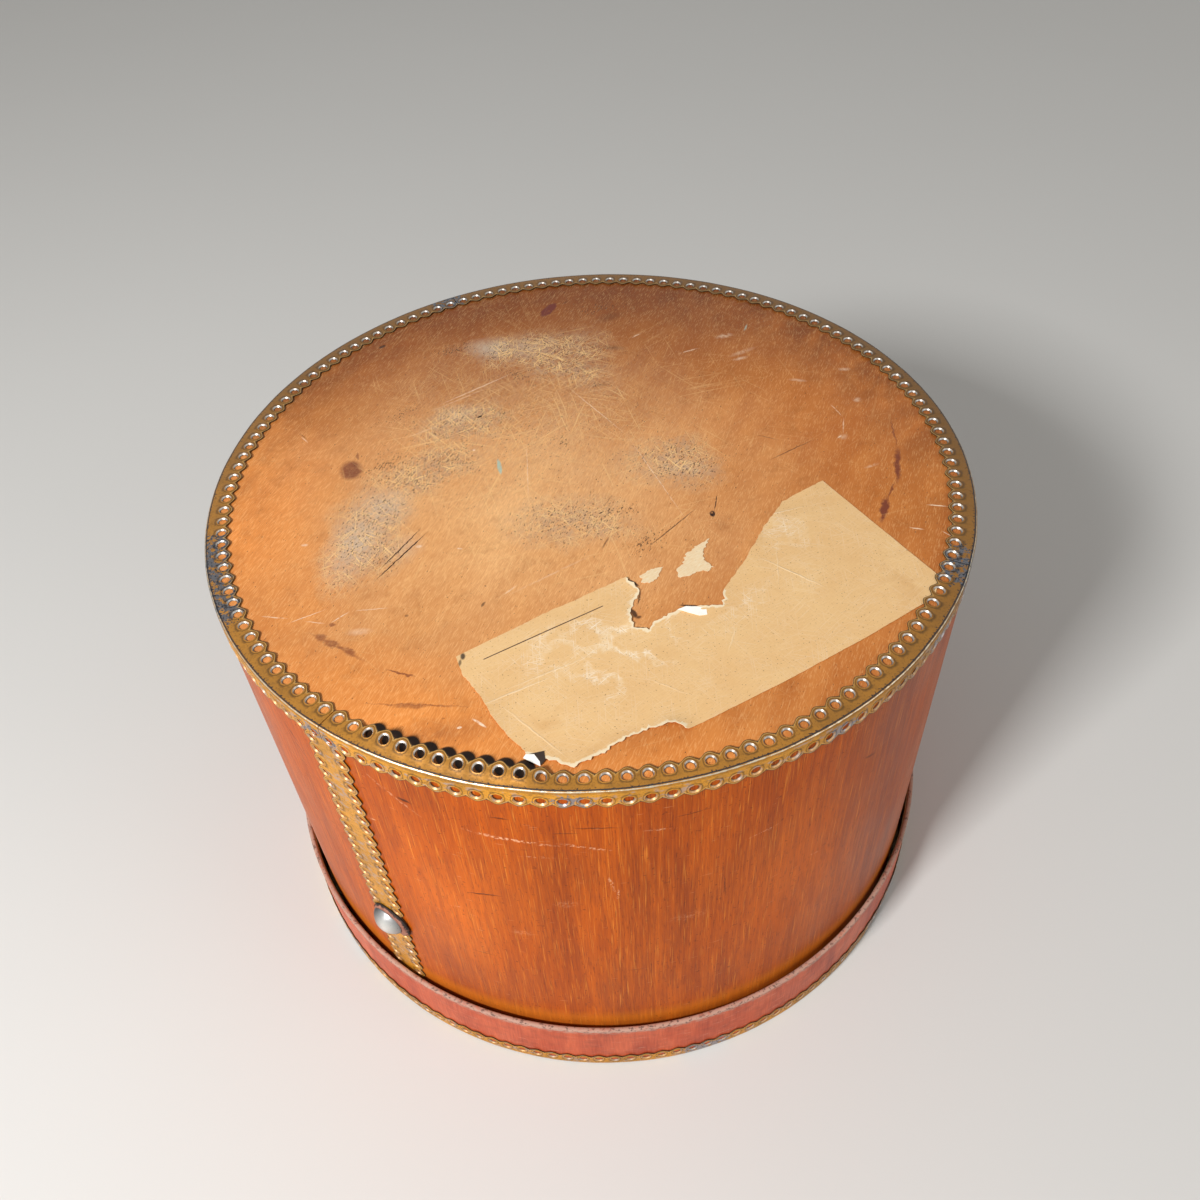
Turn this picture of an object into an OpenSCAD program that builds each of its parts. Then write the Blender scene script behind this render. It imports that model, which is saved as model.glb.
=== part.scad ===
// Round plywood hat box with perforated metal edging, standing upside down on its shallow lid.
// All sizes are in millimetres. Z is up, the floor is at z = 0 and the box's axis is the Z axis.

/* [Drum] */
// Outer diameter of the drum over its metal edging
drum_d = 380; // [300:5:460]
// Height of the closed box
box_h = 263; // [190:1:330]
// Thickness of the bent plywood wall
wall_t = 3; // [2:0.5:5]
// Thickness of the drum's plywood board
board_t = 3.5; // [2:0.5:6]
// Thickness of the lining paper
lining_t = 0.3; // [0.2:0.1:0.6]
// Width of bare wood that the wall's lining leaves at the mouth
lining_margin = 3; // [1:0.5:10]

/* [Lid] */
// Height of the lid over its plywood rim
lid_h = 43; // [30:1:55]
// Thickness of the bent plywood rim
rim_t = 2.5; // [2:0.5:4]
// Thickness of the lid's plywood board
lid_board_t = 3.5; // [2:0.5:6]
// Clear gap all round between the drum and the lid's lining
lid_gap = 1.7; // [1.2:0.1:4]

/* [Metal edging] */
// Thickness of the sheet metal
metal_t = 0.5; // [0.4:0.1:0.8]
// Width of the edging's leg on a board, out to the tips of its scallops
board_leg = 12.5; // [11:0.5:18]
// Width of the edging's leg on a wall, out to the tips of its scallops
wall_leg = 11; // [10:0.5:16]
// Radius of the fold between the two legs, outside
fold_r = 1.5; // [1:0.1:2]
// Number of flats in the fold
fold_flats = 3; // [2:1:6]
// Length of one scallop along the edging
pitch = 8.7; // [8:0.1:12]
// Height of a scallop, from its tip to the valley beside it
scallop_h = 2; // [1:0.1:2.5]
// Diameter of the punched holes
hole_d = 3.8; // [2.5:0.1:4.5]
// From the tip of a scallop to the centre of its hole
hole_inset = 4.4; // [3.5:0.1:5]
// Gap where two lengths of edging meet
edging_gap = 0.4; // [0.2:0.1:1]

/* [Seams] */
// Direction of the drum's seam, seen from above, from the X axis
seam_angle = -128.5; // [-180:0.5:180]
// Direction of the lid's seam
lid_seam_angle = 75; // [-180:0.5:180]
// Angle from the drum's seam to the second joint in the edging
joint_b_turn = 102; // [90:1:120]
// Angle from the drum's seam to the third joint in the edging
joint_c_turn = 243; // [220:1:250]
// Width of the perforated strip over a seam
strip_w = 24; // [20:0.5:30]
// Width of the plain strip behind a seam
backing_w = 20; // [16:0.5:30]
// Width of the slit where the ends of a bent wall meet
slit_w = 0.6; // [0.3:0.1:1.5]

/* [Strap studs] */
// Height of the studs over the edge of the lid's rim
stud_rise = 55; // [30:1:75]
// Diameter of the domed head
dome_d = 18.5; // [12:0.5:22]
// Height of the domed head
dome_h = 5.6; // [3:0.1:6]
// Diameter of the leather washer
washer_d = 27; // [24:0.5:32]
// Thickness of the leather washer
washer_t = 1.8; // [1:0.1:3]
// Diameter of the stud's shank
shank_d = 4; // [3:0.1:5]
// Diameter of the metal rove inside the wall
rove_d = 12; // [9:0.5:15]
// Thickness of the rove
rove_t = 0.8; // [0.5:0.1:1.5]
// Diameter of the clenched end of the shank
clench_d = 6.5; // [6:0.1:8]
// Height of the clenched end of the shank
clench_h = 1.2; // [0.8:0.1:2]

/* [Paper label] */
// Length of the label
label_l = 206; // [150:1:220]
// Width of the label
label_w = 90; // [60:1:100]
// Direction of the label's long side, from the X axis
label_angle = 28.5; // [-180:0.5:180]
// Thickness of the label's paper
label_t = 0.25; // [0.1:0.05:0.4]
// How far the label's middle is shifted along its long side, to the left
label_shift = 9; // [-20:1:20]
// Gap between the label's outer corners and the edging
label_gap = 0.5; // [0.2:0.1:3]

/* [Hidden] */
$fn = 240;
hole_fn = 24;
eps = 0.01;
// Reach of a cutter past the face that it cuts
past = 5;
// Clearance of a shank in its hole, over its diameter
shank_clear = 0.2;
// Gap between the end of a seam strip and what it runs up to
strip_gap = 0.3;
// Air between curved faces that lie against each other, such as metal on wood
air = 0.05;

// Drum, from the outside in
drum_r = drum_d / 2;
wall_r = drum_r - metal_t - air;
wall_in_r = wall_r - wall_t;
mouth_z = metal_t + lid_board_t + lining_t;
board_z = box_h - metal_t - board_t;

// Lid, from the drum outwards
rim_in_r = drum_r + lid_gap + lining_t;
rim_r = rim_in_r + rim_t;
lid_r = rim_r + air + metal_t;

// Edging: round notches between the scallops, each centred a little beyond the tips
drum_cells = round(2 * PI * drum_r / pitch);
lid_cells = round(2 * PI * lid_r / pitch);
notch_r = pitch / 3;
notch_out = notch_r - scallop_h;
joint_b = round(joint_b_turn / 360 * drum_cells);
joint_c = round(joint_c_turn / 360 * drum_cells);
lid_joint_b = round(joint_b_turn / 360 * lid_cells);
lid_joint_c = round(joint_c_turn / 360 * lid_cells);

// Studs
stud_z = lid_h + stud_rise;
rear_angle = seam_angle + 180;
dome_rim = 0.6;
dome_sphere_r = (pow(dome_d / 2, 2) + pow(dome_h - dome_rim, 2)) / (2 * (dome_h - dome_rim));

// Label: its long side is pushed out until its near corner meets the edging's scallops
label_room = drum_r - board_leg - label_gap;
// That corner's place on the label, in parts of its half length and half width
label_corner = [0.8, 1];
label_corner_x = label_corner[0] * label_l / 2 - label_shift;
label_dist = sqrt(pow(label_room, 2) - pow(label_corner_x, 2)) - label_corner[1] * label_w / 2;
// Outline of the torn label, each point as parts of its half length and half width
label_outline = [
    [-0.98, 0.98], [-1, 0.75], [-0.99, 0.45], [-1, 0.15], [-0.99, -0.12], [-0.97, -0.38], [-0.85, -0.74],
    [-0.73, -0.76], [-0.62, -0.73], [-0.51, -0.76], [-0.41, -0.84], [-0.38, -0.96], [0.07, -1], [0.5, -1],
    [0.9, -0.97], [1, -0.79], [0.99, 1], [0.74, 0.97], [0.57, 0.78], [0.37, 0.49], [0.17, 0.26],
    [0.12, 0.1], [-0.06, 0.29], [-0.18, 0.29], [-0.22, 0.24], [-0.27, 0.34], [-0.25, 0.47],
    [-0.21, 0.6], [-0.13, 0.73], [-0.14, 0.96], [-0.57, 0.99]
];
// Two scraps of the label left in its torn notch: each one's place, in the same parts,
// and its outline, in parts of the label's half width
scrap_places = [[0.17, 0.78], [-0.04, 0.85]];
scrap_outlines = [
    [
        [0.2, 0.31], [0.11, 0.13], [0.11, 0], [0.2, -0.11], [0.13, -0.16], [0.04, -0.16],
        [-0.09, -0.22], [-0.18, -0.22], [-0.18, -0.11], [-0.11, -0.04], [-0.07, 0.09], [0.04, 0.2]
    ],
    [
        [0.13, 0.11], [0.09, 0.02], [0.07, -0.04], [-0.02, -0.11],
        [-0.09, -0.09], [-0.11, 0], [-0.04, 0.04], [0.04, 0.09]
    ]
];

wood = "chocolate";
brass = "darkgoldenrod";
dull_brass = "olive";
paper = "burlywood";

// Upright ring between two radii
module ring(r_in, r_out, z_low, z_high) {
    rotate_extrude() translate([r_in, z_low]) square([r_out - r_in, z_high - z_low]);
}

// Upright pie slice from one angle to another, less than half a turn
module slice(from, to, r, z_low, z_high) {
    reach = 2 * r;
    edge = [for (i = [0:3]) let (a = from + (to - from) * i / 3) reach * [cos(a), sin(a)]];
    translate([0, 0, z_low]) linear_extrude(z_high - z_low) polygon(concat([[0, 0]], edge));
}

// Puts a child's Z axis on the outward radius at an angle, from radius r at height z
module outward(angle, r, z) {
    rotate([0, 0, angle]) translate([r, 0, z]) rotate([0, 90, 0]) children();
}

// Folded profile of the edging: a leg on the board, a leg on the wall and a fold of a few flats
module edging_profile(r_out) {
    translate([r_out - board_leg, 0]) square([board_leg - fold_r, metal_t]);
    translate([r_out - metal_t, fold_r]) square([metal_t, wall_leg - fold_r]);
    turn = 90 / fold_flats;
    inner = fold_r - metal_t;
    translate([r_out - fold_r, fold_r]) polygon(concat(
        [for (i = [0:fold_flats]) fold_r * [sin(i * turn), -cos(i * turn)]],
        [for (i = [fold_flats:-1:0]) inner * [sin(i * turn), -cos(i * turn)]]
    ));
}

// One length of edging, board leg down, over the cells from first to last
module edging(r_out, cells, start, first, last) {
    step = 360 / cells;
    trim = edging_gap / 2 / r_out * 180 / PI;
    from = start + first * step + trim;
    to = start + last * step - trim;
    difference() {
        rotate([0, 0, from]) rotate_extrude(angle = to - from) edging_profile(r_out);
        for (i = [first:last], a = start + i * step) {
            rotate([0, 0, a]) translate([r_out - board_leg - notch_out, 0, -past]) {
                cylinder(r = notch_r, h = 2 * past, $fn = hole_fn);
            }
            outward(a, r_out - past, wall_leg + notch_out) {
                cylinder(r = notch_r, h = 2 * past, $fn = hole_fn);
            }
        }
        for (i = [first:last - 1], a = start + (i + 0.5) * step) {
            rotate([0, 0, a]) translate([r_out - board_leg + hole_inset, 0, -past]) {
                cylinder(d = hole_d, h = 2 * past, $fn = hole_fn);
            }
            outward(a, r_out - past, wall_leg - hole_inset) {
                cylinder(d = hole_d, h = 2 * past, $fn = hole_fn);
            }
        }
    }
}

// Turns a lid's edging over, on to the drum's upper corner
module on_drum_top() {
    translate([0, 0, box_h]) mirror([0, 0, 1]) children();
}

// Perforated strip, scalloped along both sides, on a wall of radius r_in
module strip(r_in, angle, z_low, z_high) {
    cells = floor((z_high - z_low) / pitch);
    start = z_low + (z_high - z_low - cells * pitch) / 2;
    turn = 180 / PI / r_in;
    half = strip_w / 2 * turn;
    notch_turn = (strip_w / 2 + notch_out) * turn;
    hole_turn = (strip_w / 2 - hole_inset) * turn;
    difference() {
        rotate([0, 0, angle - half]) rotate_extrude(angle = 2 * half) {
            translate([r_in, z_low]) square([metal_t, z_high - z_low]);
        }
        for (i = [0:cells], side = [-1, 1]) {
            outward(angle + side * notch_turn, r_in - past, start + i * pitch) {
                cylinder(r = notch_r, h = 2 * past, $fn = hole_fn);
            }
        }
        for (i = [0:cells - 1], side = [-1, 1]) {
            outward(angle + side * hole_turn, r_in - past, start + (i + 0.5) * pitch) {
                cylinder(d = hole_d, h = 2 * past, $fn = hole_fn);
            }
        }
    }
}

module shank_hole(angle, z) {
    outward(angle, wall_in_r - 2 * past, z) cylinder(d = shank_d + shank_clear, h = wall_t + 4 * past);
}

// Distance from the axis at which a flat rove's rim meets the round inside of the wall
function rove_seat(inner_r) = sqrt(pow(inner_r, 2) - pow(rove_d / 2, 2));

// Domed stud over its washer, whose shank is clenched over a rove inside the wall
module stud(angle, seat_r, inner_r) {
    head = seat_r + washer_t;
    foot = rove_seat(inner_r) - rove_t;
    outward(angle, head, stud_z) {
        rotate_extrude() intersection() {
            union() {
                square([dome_d / 2, dome_rim]);
                translate([0, dome_h - dome_sphere_r]) circle(dome_sphere_r);
            }
            square([dome_d / 2, dome_h]);
        }
    }
    outward(angle, foot - eps, stud_z) cylinder(d = shank_d, h = head - foot + 2 * eps);
    outward(angle, foot - clench_h, stud_z) cylinder(d = clench_d, h = clench_h);
}

// Leather washer, hollowed to lie on the round wall, with a flat face for the stud's head
module stud_washer(angle, seat_r) {
    difference() {
        outward(angle, seat_r - past, stud_z) cylinder(d = washer_d, h = washer_t + past);
        ring(seat_r / 2, seat_r, 0, box_h);
        shank_hole(angle, stud_z);
    }
}

module stud_rove(angle, inner_r) {
    difference() {
        outward(angle, rove_seat(inner_r) - rove_t, stud_z) cylinder(d = rove_d, h = rove_t);
        shank_hole(angle, stud_z);
    }
}

// Lining paper round a wall, left open over the strip behind the seam
module wall_paper(r_out, angle, z_low, z_high) {
    half = (backing_w / 2 + strip_gap) / r_out * 180 / PI;
    difference() {
        ring(r_out - lining_t, r_out, z_low, z_high);
        slice(angle - half, angle + half, r_out, z_low - past, z_high + past);
    }
}

// Bent wall whose ends meet in a slit
module bent_wall(r_in, r_out, angle, z_low, z_high) {
    difference() {
        ring(r_in, r_out, z_low, z_high);
        rotate([0, 0, angle]) translate([r_in - past, -slit_w / 2, z_low - past]) {
            cube([r_out - r_in + 2 * past, slit_w, z_high - z_low + 2 * past]);
        }
    }
}

// Plain strip behind a seam
module backing(r_out, angle, z_low, z_high) {
    half = backing_w / 2 / r_out * 180 / PI;
    intersection() {
        ring(r_out - metal_t, r_out, z_low, z_high);
        slice(angle - half, angle + half, r_out, z_low, z_high);
    }
}

// Round board whose outer edge, on the floor side, is bevelled to lie in the edging's fold
module board(r, t) {
    bevel = fold_r - metal_t;
    rotate_extrude() polygon([[0, 0], [r - bevel, 0], [r, bevel], [r, t], [0, t]]);
}

module drum_wall() {
    color(wood) difference() {
        bent_wall(wall_in_r, wall_r, seam_angle, mouth_z, board_z);
        shank_hole(seam_angle, stud_z);
        shank_hole(rear_angle, stud_z);
    }
}

module drum_board() {
    color(wood) on_drum_top() translate([0, 0, metal_t]) board(wall_r, board_t);
}

module drum_edging_a() {
    color(brass) on_drum_top() edging(drum_r, drum_cells, seam_angle, 0, joint_b);
}

module drum_edging_b() {
    color(brass) on_drum_top() edging(drum_r, drum_cells, seam_angle, joint_b, joint_c);
}

module drum_edging_c() {
    color(brass) on_drum_top() edging(drum_r, drum_cells, seam_angle, joint_c, drum_cells);
}

module seam_strip() {
    color(brass) difference() {
        strip(wall_r + air, seam_angle, mouth_z, box_h - wall_leg - strip_gap);
        shank_hole(seam_angle, stud_z);
    }
}

module seam_backing() {
    color(dull_brass) difference() {
        backing(wall_in_r - air, seam_angle, mouth_z, board_z - lining_t);
        shank_hole(seam_angle, stud_z);
    }
}

module wall_lining() {
    color(paper) difference() {
        wall_paper(wall_in_r - air, seam_angle, mouth_z + lining_margin, board_z - lining_t);
        shank_hole(rear_angle, stud_z);
    }
}

module board_lining() {
    color(paper) translate([0, 0, board_z - lining_t]) cylinder(r = wall_in_r - air, h = lining_t);
}

module front_stud() {
    color("silver") stud(seam_angle, drum_r + air, wall_in_r - air - metal_t);
}

module front_stud_washer() {
    color("sienna") stud_washer(seam_angle, drum_r + air);
}

module front_stud_rove() {
    color("gray") stud_rove(seam_angle, wall_in_r - air - metal_t);
}

module rear_stud() {
    color("silver") stud(rear_angle, wall_r + air, wall_in_r - air - lining_t);
}

module rear_stud_washer() {
    color("sienna") stud_washer(rear_angle, wall_r + air);
}

module rear_stud_rove() {
    color("gray") stud_rove(rear_angle, wall_in_r - air - lining_t);
}

// Lays a flat outline on the drum's board, in the label's own directions and inside the edging
module on_board() {
    translate([0, 0, box_h - metal_t]) linear_extrude(label_t) intersection() {
        rotate(label_angle) translate([-label_shift, -label_dist]) children();
        circle(label_room);
    }
}

module paper_label() {
    color("tan") on_board() {
        polygon([for (p = label_outline) [p[0] * label_l / 2, p[1] * label_w / 2]]);
    }
}

module label_scraps() {
    color("wheat") on_board() {
        for (i = [0:len(scrap_places) - 1]) let (place = scrap_places[i]) {
            translate([place[0] * label_l / 2, place[1] * label_w / 2]) {
                rotate(-label_angle) scale(label_w / 2) polygon(scrap_outlines[i]);
            }
        }
    }
}

module lid_board() {
    color(wood) translate([0, 0, metal_t]) board(rim_r, lid_board_t);
}

module lid_rim() {
    color("indianred") bent_wall(rim_in_r, rim_r, lid_seam_angle, metal_t + lid_board_t, lid_h);
}

module lid_edging_a() {
    color(dull_brass) edging(lid_r, lid_cells, lid_seam_angle, 0, lid_joint_b);
}

module lid_edging_b() {
    color(dull_brass) edging(lid_r, lid_cells, lid_seam_angle, lid_joint_b, lid_joint_c);
}

module lid_edging_c() {
    color(dull_brass) edging(lid_r, lid_cells, lid_seam_angle, lid_joint_c, lid_cells);
}

module lid_seam_strip() {
    color(dull_brass) strip(rim_r + air, lid_seam_angle, wall_leg + strip_gap, lid_h - strip_gap);
}

module lid_seam_backing() {
    color(dull_brass) backing(rim_in_r - air, lid_seam_angle, mouth_z, lid_h - strip_gap);
}

module lid_board_lining() {
    color(paper) translate([0, 0, metal_t + lid_board_t]) cylinder(r = rim_in_r - air, h = lining_t);
}

module lid_rim_lining() {
    color(paper) wall_paper(rim_in_r - air, lid_seam_angle, mouth_z, lid_h - lining_margin);
}

drum_wall();
drum_board();
drum_edging_a();
drum_edging_b();
drum_edging_c();
seam_strip();
seam_backing();
wall_lining();
board_lining();
front_stud();
front_stud_washer();
front_stud_rove();
rear_stud();
rear_stud_washer();
rear_stud_rove();
paper_label();
label_scraps();
lid_board();
lid_rim();
lid_edging_a();
lid_edging_b();
lid_edging_c();
lid_seam_strip();
lid_seam_backing();
lid_board_lining();
lid_rim_lining();
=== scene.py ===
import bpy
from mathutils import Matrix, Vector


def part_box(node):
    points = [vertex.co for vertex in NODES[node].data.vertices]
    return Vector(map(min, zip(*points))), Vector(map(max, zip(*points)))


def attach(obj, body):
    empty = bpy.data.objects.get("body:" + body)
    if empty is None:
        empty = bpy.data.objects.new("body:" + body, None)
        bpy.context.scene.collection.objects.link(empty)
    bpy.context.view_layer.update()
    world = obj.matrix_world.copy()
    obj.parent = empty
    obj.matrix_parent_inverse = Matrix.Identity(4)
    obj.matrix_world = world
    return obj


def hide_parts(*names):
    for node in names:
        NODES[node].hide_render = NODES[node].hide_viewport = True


bl_info = {
    "name": "Round Hat Box",
    "version": (1, 0, 0),
    "blender": (4, 5, 0),
    "location": "View3D > Sidebar > Hat Box",
    "description": "Dresses the CAD frame of a round plywood hat box that stands upside down on its lid",
    "category": "Object",
}

import math
import random

import bpy
from bpy.props import FloatProperty, FloatVectorProperty, PointerProperty
from mathutils import Matrix, Vector, geometry, noise

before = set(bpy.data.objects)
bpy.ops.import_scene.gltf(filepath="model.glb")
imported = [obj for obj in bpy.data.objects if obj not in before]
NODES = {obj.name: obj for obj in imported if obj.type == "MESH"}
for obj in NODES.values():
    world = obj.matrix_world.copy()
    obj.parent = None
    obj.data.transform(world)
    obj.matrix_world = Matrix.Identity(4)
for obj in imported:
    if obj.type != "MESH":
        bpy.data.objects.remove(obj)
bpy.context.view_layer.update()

# Sizes are in millimetres and angles in degrees, and a mesh is turned to metres as it is made
MM = 0.001


def high(node):
    """Highest corner of a CAD node's box."""
    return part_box(node)[1] / MM


def low(node):
    """Lowest corner of a CAD node's box."""
    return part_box(node)[0] / MM


# Sizes read from the CAD frame
TOP = high("drum_edging_a").z
DRUM_R = max(high("drum_edging_" + part).x for part in "abc")
LID_R = max(high("lid_edging_" + part).x for part in "abc")
WALL_R = high("drum_wall").x
WALL_IN_R = high("wall_lining").x
MOUTH_Z = low("drum_wall").z
WALL_TOP = high("drum_wall").z
BOARD_TOP = high("drum_board").z
RIM_R = high("lid_rim").x
RIM_IN_R = high("lid_rim_lining").x
RIM_LOW = low("lid_rim").z
LID_H = high("lid_rim").z
WALL_LEG = TOP - low("drum_edging_a").z
STRIP_LOW, STRIP_HIGH = low("seam_strip").z, high("seam_strip").z
LID_STRIP_LOW, LID_STRIP_HIGH = low("lid_seam_strip").z, high("lid_seam_strip").z
STUD_Z = (low("front_stud").z + high("front_stud").z) / 2

# Sizes that the CAD frame was made with
BOARD_LEG = 12.5
FOLD_R = 1.5
PITCH = 8.7
HOLE_INSET = 4.4
STRIP_W = 24.0
SEAM_ANGLE = -128.5
LID_SEAM_ANGLE = 75.0
JOINT_B_TURN = 102.0
JOINT_C_TURN = 243.0
END_GAP = 0.4
SLIT_W = 0.6
WASHER_T = 1.8
ROVE_D = 12.0
ROVE_T = 0.8
SHANK_D = 4.0
CLENCH_D = 6.5
CLENCH_H = 1.2
LABEL_L = 206.0
LABEL_W = 90.0
LABEL_ANGLE = 28.5
LABEL_SHIFT = 9.0
LABEL_GAP = 0.5
LABEL_CORNER = (0.8, 1.0)

# Half size of the stage's floor, and its height a little under the lid
FLOOR_HALF = 4000
FLOOR_Z = -0.3


def colour(code):
    """Linear RGBA of an sRGB hex colour."""
    parts = [int(code[i:i + 2], 16) / 255 for i in (1, 3, 5)]
    return tuple(c / 12.92 if c <= 0.04045 else ((c + 0.055) / 1.055) ** 2.4 for c in parts) + (1.0,)


# Sizes and colours that a user would change

def swatch(name, description, code):
    return FloatVectorProperty(
        name=name, description=description, subtype="COLOR", size=4, min=0, max=1, default=colour(code)
    )


def length(name, description, default, low, high):
    return FloatProperty(
        name=name, description=f"{description}, in millimetres", default=default, min=low, max=high
    )


class HatBoxWood(bpy.types.PropertyGroup):
    wall_dark: swatch("Wall Dark", "Dark streaks of the wall's veneer", "#843404")
    wall_light: swatch("Wall Light", "Light streaks of the wall's veneer", "#c65e08")
    board_dark: swatch("Board Dark", "Dark streaks of the board's veneer", "#b2642c")
    board_light: swatch("Board Light", "Light streaks of the board's veneer", "#db8f4c")
    rim_dark: swatch("Rim Dark", "Dark streaks of the rim's veneer", "#a03a1c")
    rim_light: swatch("Rim Light", "Light streaks of the rim's veneer", "#da6a40")
    worn: swatch("Worn Wood", "Wood where the varnish is scuffed through", "#b8977a")
    waver: length("Waver", "How far the bent wood strays from a true circle", 0.35, 0, 2)


class HatBoxEdging(bpy.types.PropertyGroup):
    hole_d: length("Hole", "Diameter of a punched hole", 4.0, 2, 5)
    scallop_h: length("Scallop", "Height of a scallop over the valley beside it", 2.2, 0.5, 3)
    metal: length("Metal", "Thickness of the metal sheet", 0.35, 0.2, 0.5)
    proud: length("Proud", "How far the tips stand off the wood", 0.5, 0, 2)
    sprung: length("Sprung", "Lift of the sprung stretch at the front left", 3.4, 0, 6)
    lacquer: swatch("Lacquer", "Gold lacquer over tinplate, on the board", "#b87e2c")
    # Painted light: the lacquer below the drum's top is drawn brighter than on the board leg, for the light that
    # falls on it
    lit_side_lacquer: swatch("Side Lacquer", "Brighter gold lacquer, on the wall", "#eaa22a")
    # Tarnish, also laid on the rear and right of the edging as painted shade
    tarnish_and_shade: swatch("Tarnish", "Browned lacquer", "#745020")
    steel: swatch("Bare Metal", "Tinplate where the lacquer is worn off", "#b3b2ae")


class HatBoxLabel(bpy.types.PropertyGroup):
    curl: length("Curl", "Lift of the label's loose edges", 1.2, 0, 4)
    paper: swatch("Paper", "Aged kraft paper", "#e4b87e")
    core: swatch("Core", "Pale inside of the paper along a tear", "#f0dcb8")
    ink: swatch("Ink", "Faded pen line", "#4a3020")


class HatBoxStage(bpy.types.PropertyGroup):
    camera_back: FloatProperty(
        name="Back", description="Camera's distance in front of the axis", default=0.4294, unit="LENGTH"
    )
    camera_height: FloatProperty(
        name="Height", description="Camera's height over the floor", default=0.6260, unit="LENGTH"
    )
    camera_pitch: FloatProperty(
        name="Pitch", description="How far the camera looks down", default=0.8164, unit="ROTATION"
    )
    camera_yaw: FloatProperty(
        name="Yaw", description="How far the camera looks to its left", default=-0.005, unit="ROTATION"
    )
    camera_roll: FloatProperty(
        name="Roll", description="How far the camera is tilted", default=-0.067, unit="ROTATION"
    )
    lens: FloatProperty(name="Lens", description="Focal length for a 36 mm sensor", default=33.24)
    key: FloatProperty(name="Key", description="Power of the soft light at the front left", default=38, unit="POWER")
    sky: FloatProperty(name="Sky", description="Strength of the even light from all round", default=0.36)


# Nodes and materials

def add(tree, kind, sockets=None, **settings):
    """Adds a node with its settings, and its input values or the outputs that feed them."""
    item = tree.nodes.new(kind)
    for name, value in settings.items():
        setattr(item, name, value)
    for key, value in (sockets or {}).items():
        if isinstance(value, bpy.types.NodeSocket):
            tree.links.new(value, item.inputs[key])
        else:
            item.inputs[key].default_value = value
    return item


def blank_material(name):
    """New material with an empty tree, and the socket of its object coordinates in metres."""
    material = bpy.data.materials.new(name)
    material.use_nodes = True
    material.node_tree.nodes.clear()
    place = add(material.node_tree, "ShaderNodeTexCoord").outputs["Object"]
    return material, place


def surface(material, shade, gloss, *relief, **sockets):
    """Ends a material: a Principled shader, with bumps where masks stand out by so many millimetres."""
    tree = material.node_tree
    named = {"Base Color": shade, "Roughness": gloss}
    named.update((name.replace("_", " "), value) for name, value in sockets.items())
    if relief:
        height = levels(0.0, *relief)
        named["Normal"] = add(tree, "ShaderNodeBump", {"Height": height, "Distance": MM}).outputs[0]
    shader = add(tree, "ShaderNodeBsdfPrincipled", named)
    add(tree, "ShaderNodeOutputMaterial", {"Surface": shader.outputs[0]})
    return material


# The functions below add nodes to the tree that the socket given to them belongs to

def math_node(operation, *values):
    """A sum on two or three masks or numbers, of which one is a socket."""
    tree = next(value.id_data for value in values if isinstance(value, bpy.types.NodeSocket))
    return add(tree, "ShaderNodeMath", dict(enumerate(values)), operation=operation).outputs[0]


def most(*values):
    """The greatest of some masks."""
    total = values[0]
    for value in values[1:]:
        total = math_node("MAXIMUM", total, value)
    return total


def times(*values):
    """Product of masks and numbers."""
    total = values[0]
    for value in values[1:]:
        total = math_node("MULTIPLY", total, value)
    return total


def levels(start, *parts):
    """A number to which masks add or take away their amounts."""
    total = start
    for mask, amount in parts:
        total = math_node("MULTIPLY_ADD", mask, amount, total)
    return total


def ramp(value, start, end, top=1.0):
    """0 to 1, or to another top, as a value goes from a start to an end."""
    return add(
        value.id_data, "ShaderNodeMapRange", {"Value": value, "From Min": start, "From Max": end, "To Max": top}
    ).outputs[0]


def coats(under, layers):
    """Colours laid over each other, each through its mask at a strength."""
    for mask, strength, over in layers:
        mask = mask if strength == 1 else times(mask, strength)
        over = colour(over) if isinstance(over, str) else over
        under = add(mask.id_data, "ShaderNodeMix", {0: mask, 6: under, 7: over}, data_type="RGBA").outputs[2]
    return under


def two_tone(value, low, high):
    """Colour that goes from one (position, colour) to another as a value does."""
    ramped = add(value.id_data, "ShaderNodeValToRGB", {0: value})
    for element, (position, shade) in zip(ramped.color_ramp.elements, (low, high)):
        element.position, element.color = position, shade
    return ramped.outputs[0]


def attribute(place, title):
    return add(place.id_data, "ShaderNodeAttribute", attribute_name=title).outputs["Fac"]


def axes_of(place):
    return add(place.id_data, "ShaderNodeSeparateXYZ", {0: place}).outputs


def laid(texture, size, turn, centre=(0, 0, 0)):
    """Sizes, turns and centres a texture on the piece, in millimetres and degrees."""
    lay = texture.texture_mapping
    lay.vector_type = "TEXTURE"
    lay.scale = [s * MM for s in size]
    lay.rotation = [math.radians(t) for t in turn]
    lay.translation = [c * MM for c in centre]
    return texture.outputs


def grain(place, size, between=(0.0, 1.0), detail=3.0, turn=0, bend=0.0):
    """Noise whose clumps have a real size along three axes, spread between two of its levels."""
    clumps = laid(add(
        place.id_data, "ShaderNodeTexNoise",
        {"Vector": place, "Scale": 1.0, "Detail": detail, "Roughness": 0.55, "Distortion": bend},
    ), size, (0, 0, turn))
    return ramp(clumps[0], *between)


def marks(place, spots):
    """Ellipses at given places: each has a centre, half sizes, a turn, a strength and how soft its edge is."""
    return most(*(
        ramp(laid(
            add(place.id_data, "ShaderNodeTexGradient", {0: place}, gradient_type="SPHERICAL"), half, turn, centre
        )["Fac"], 0.0, soft, strength)
        for centre, half, turn, strength, soft in spots
    ))


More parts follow.
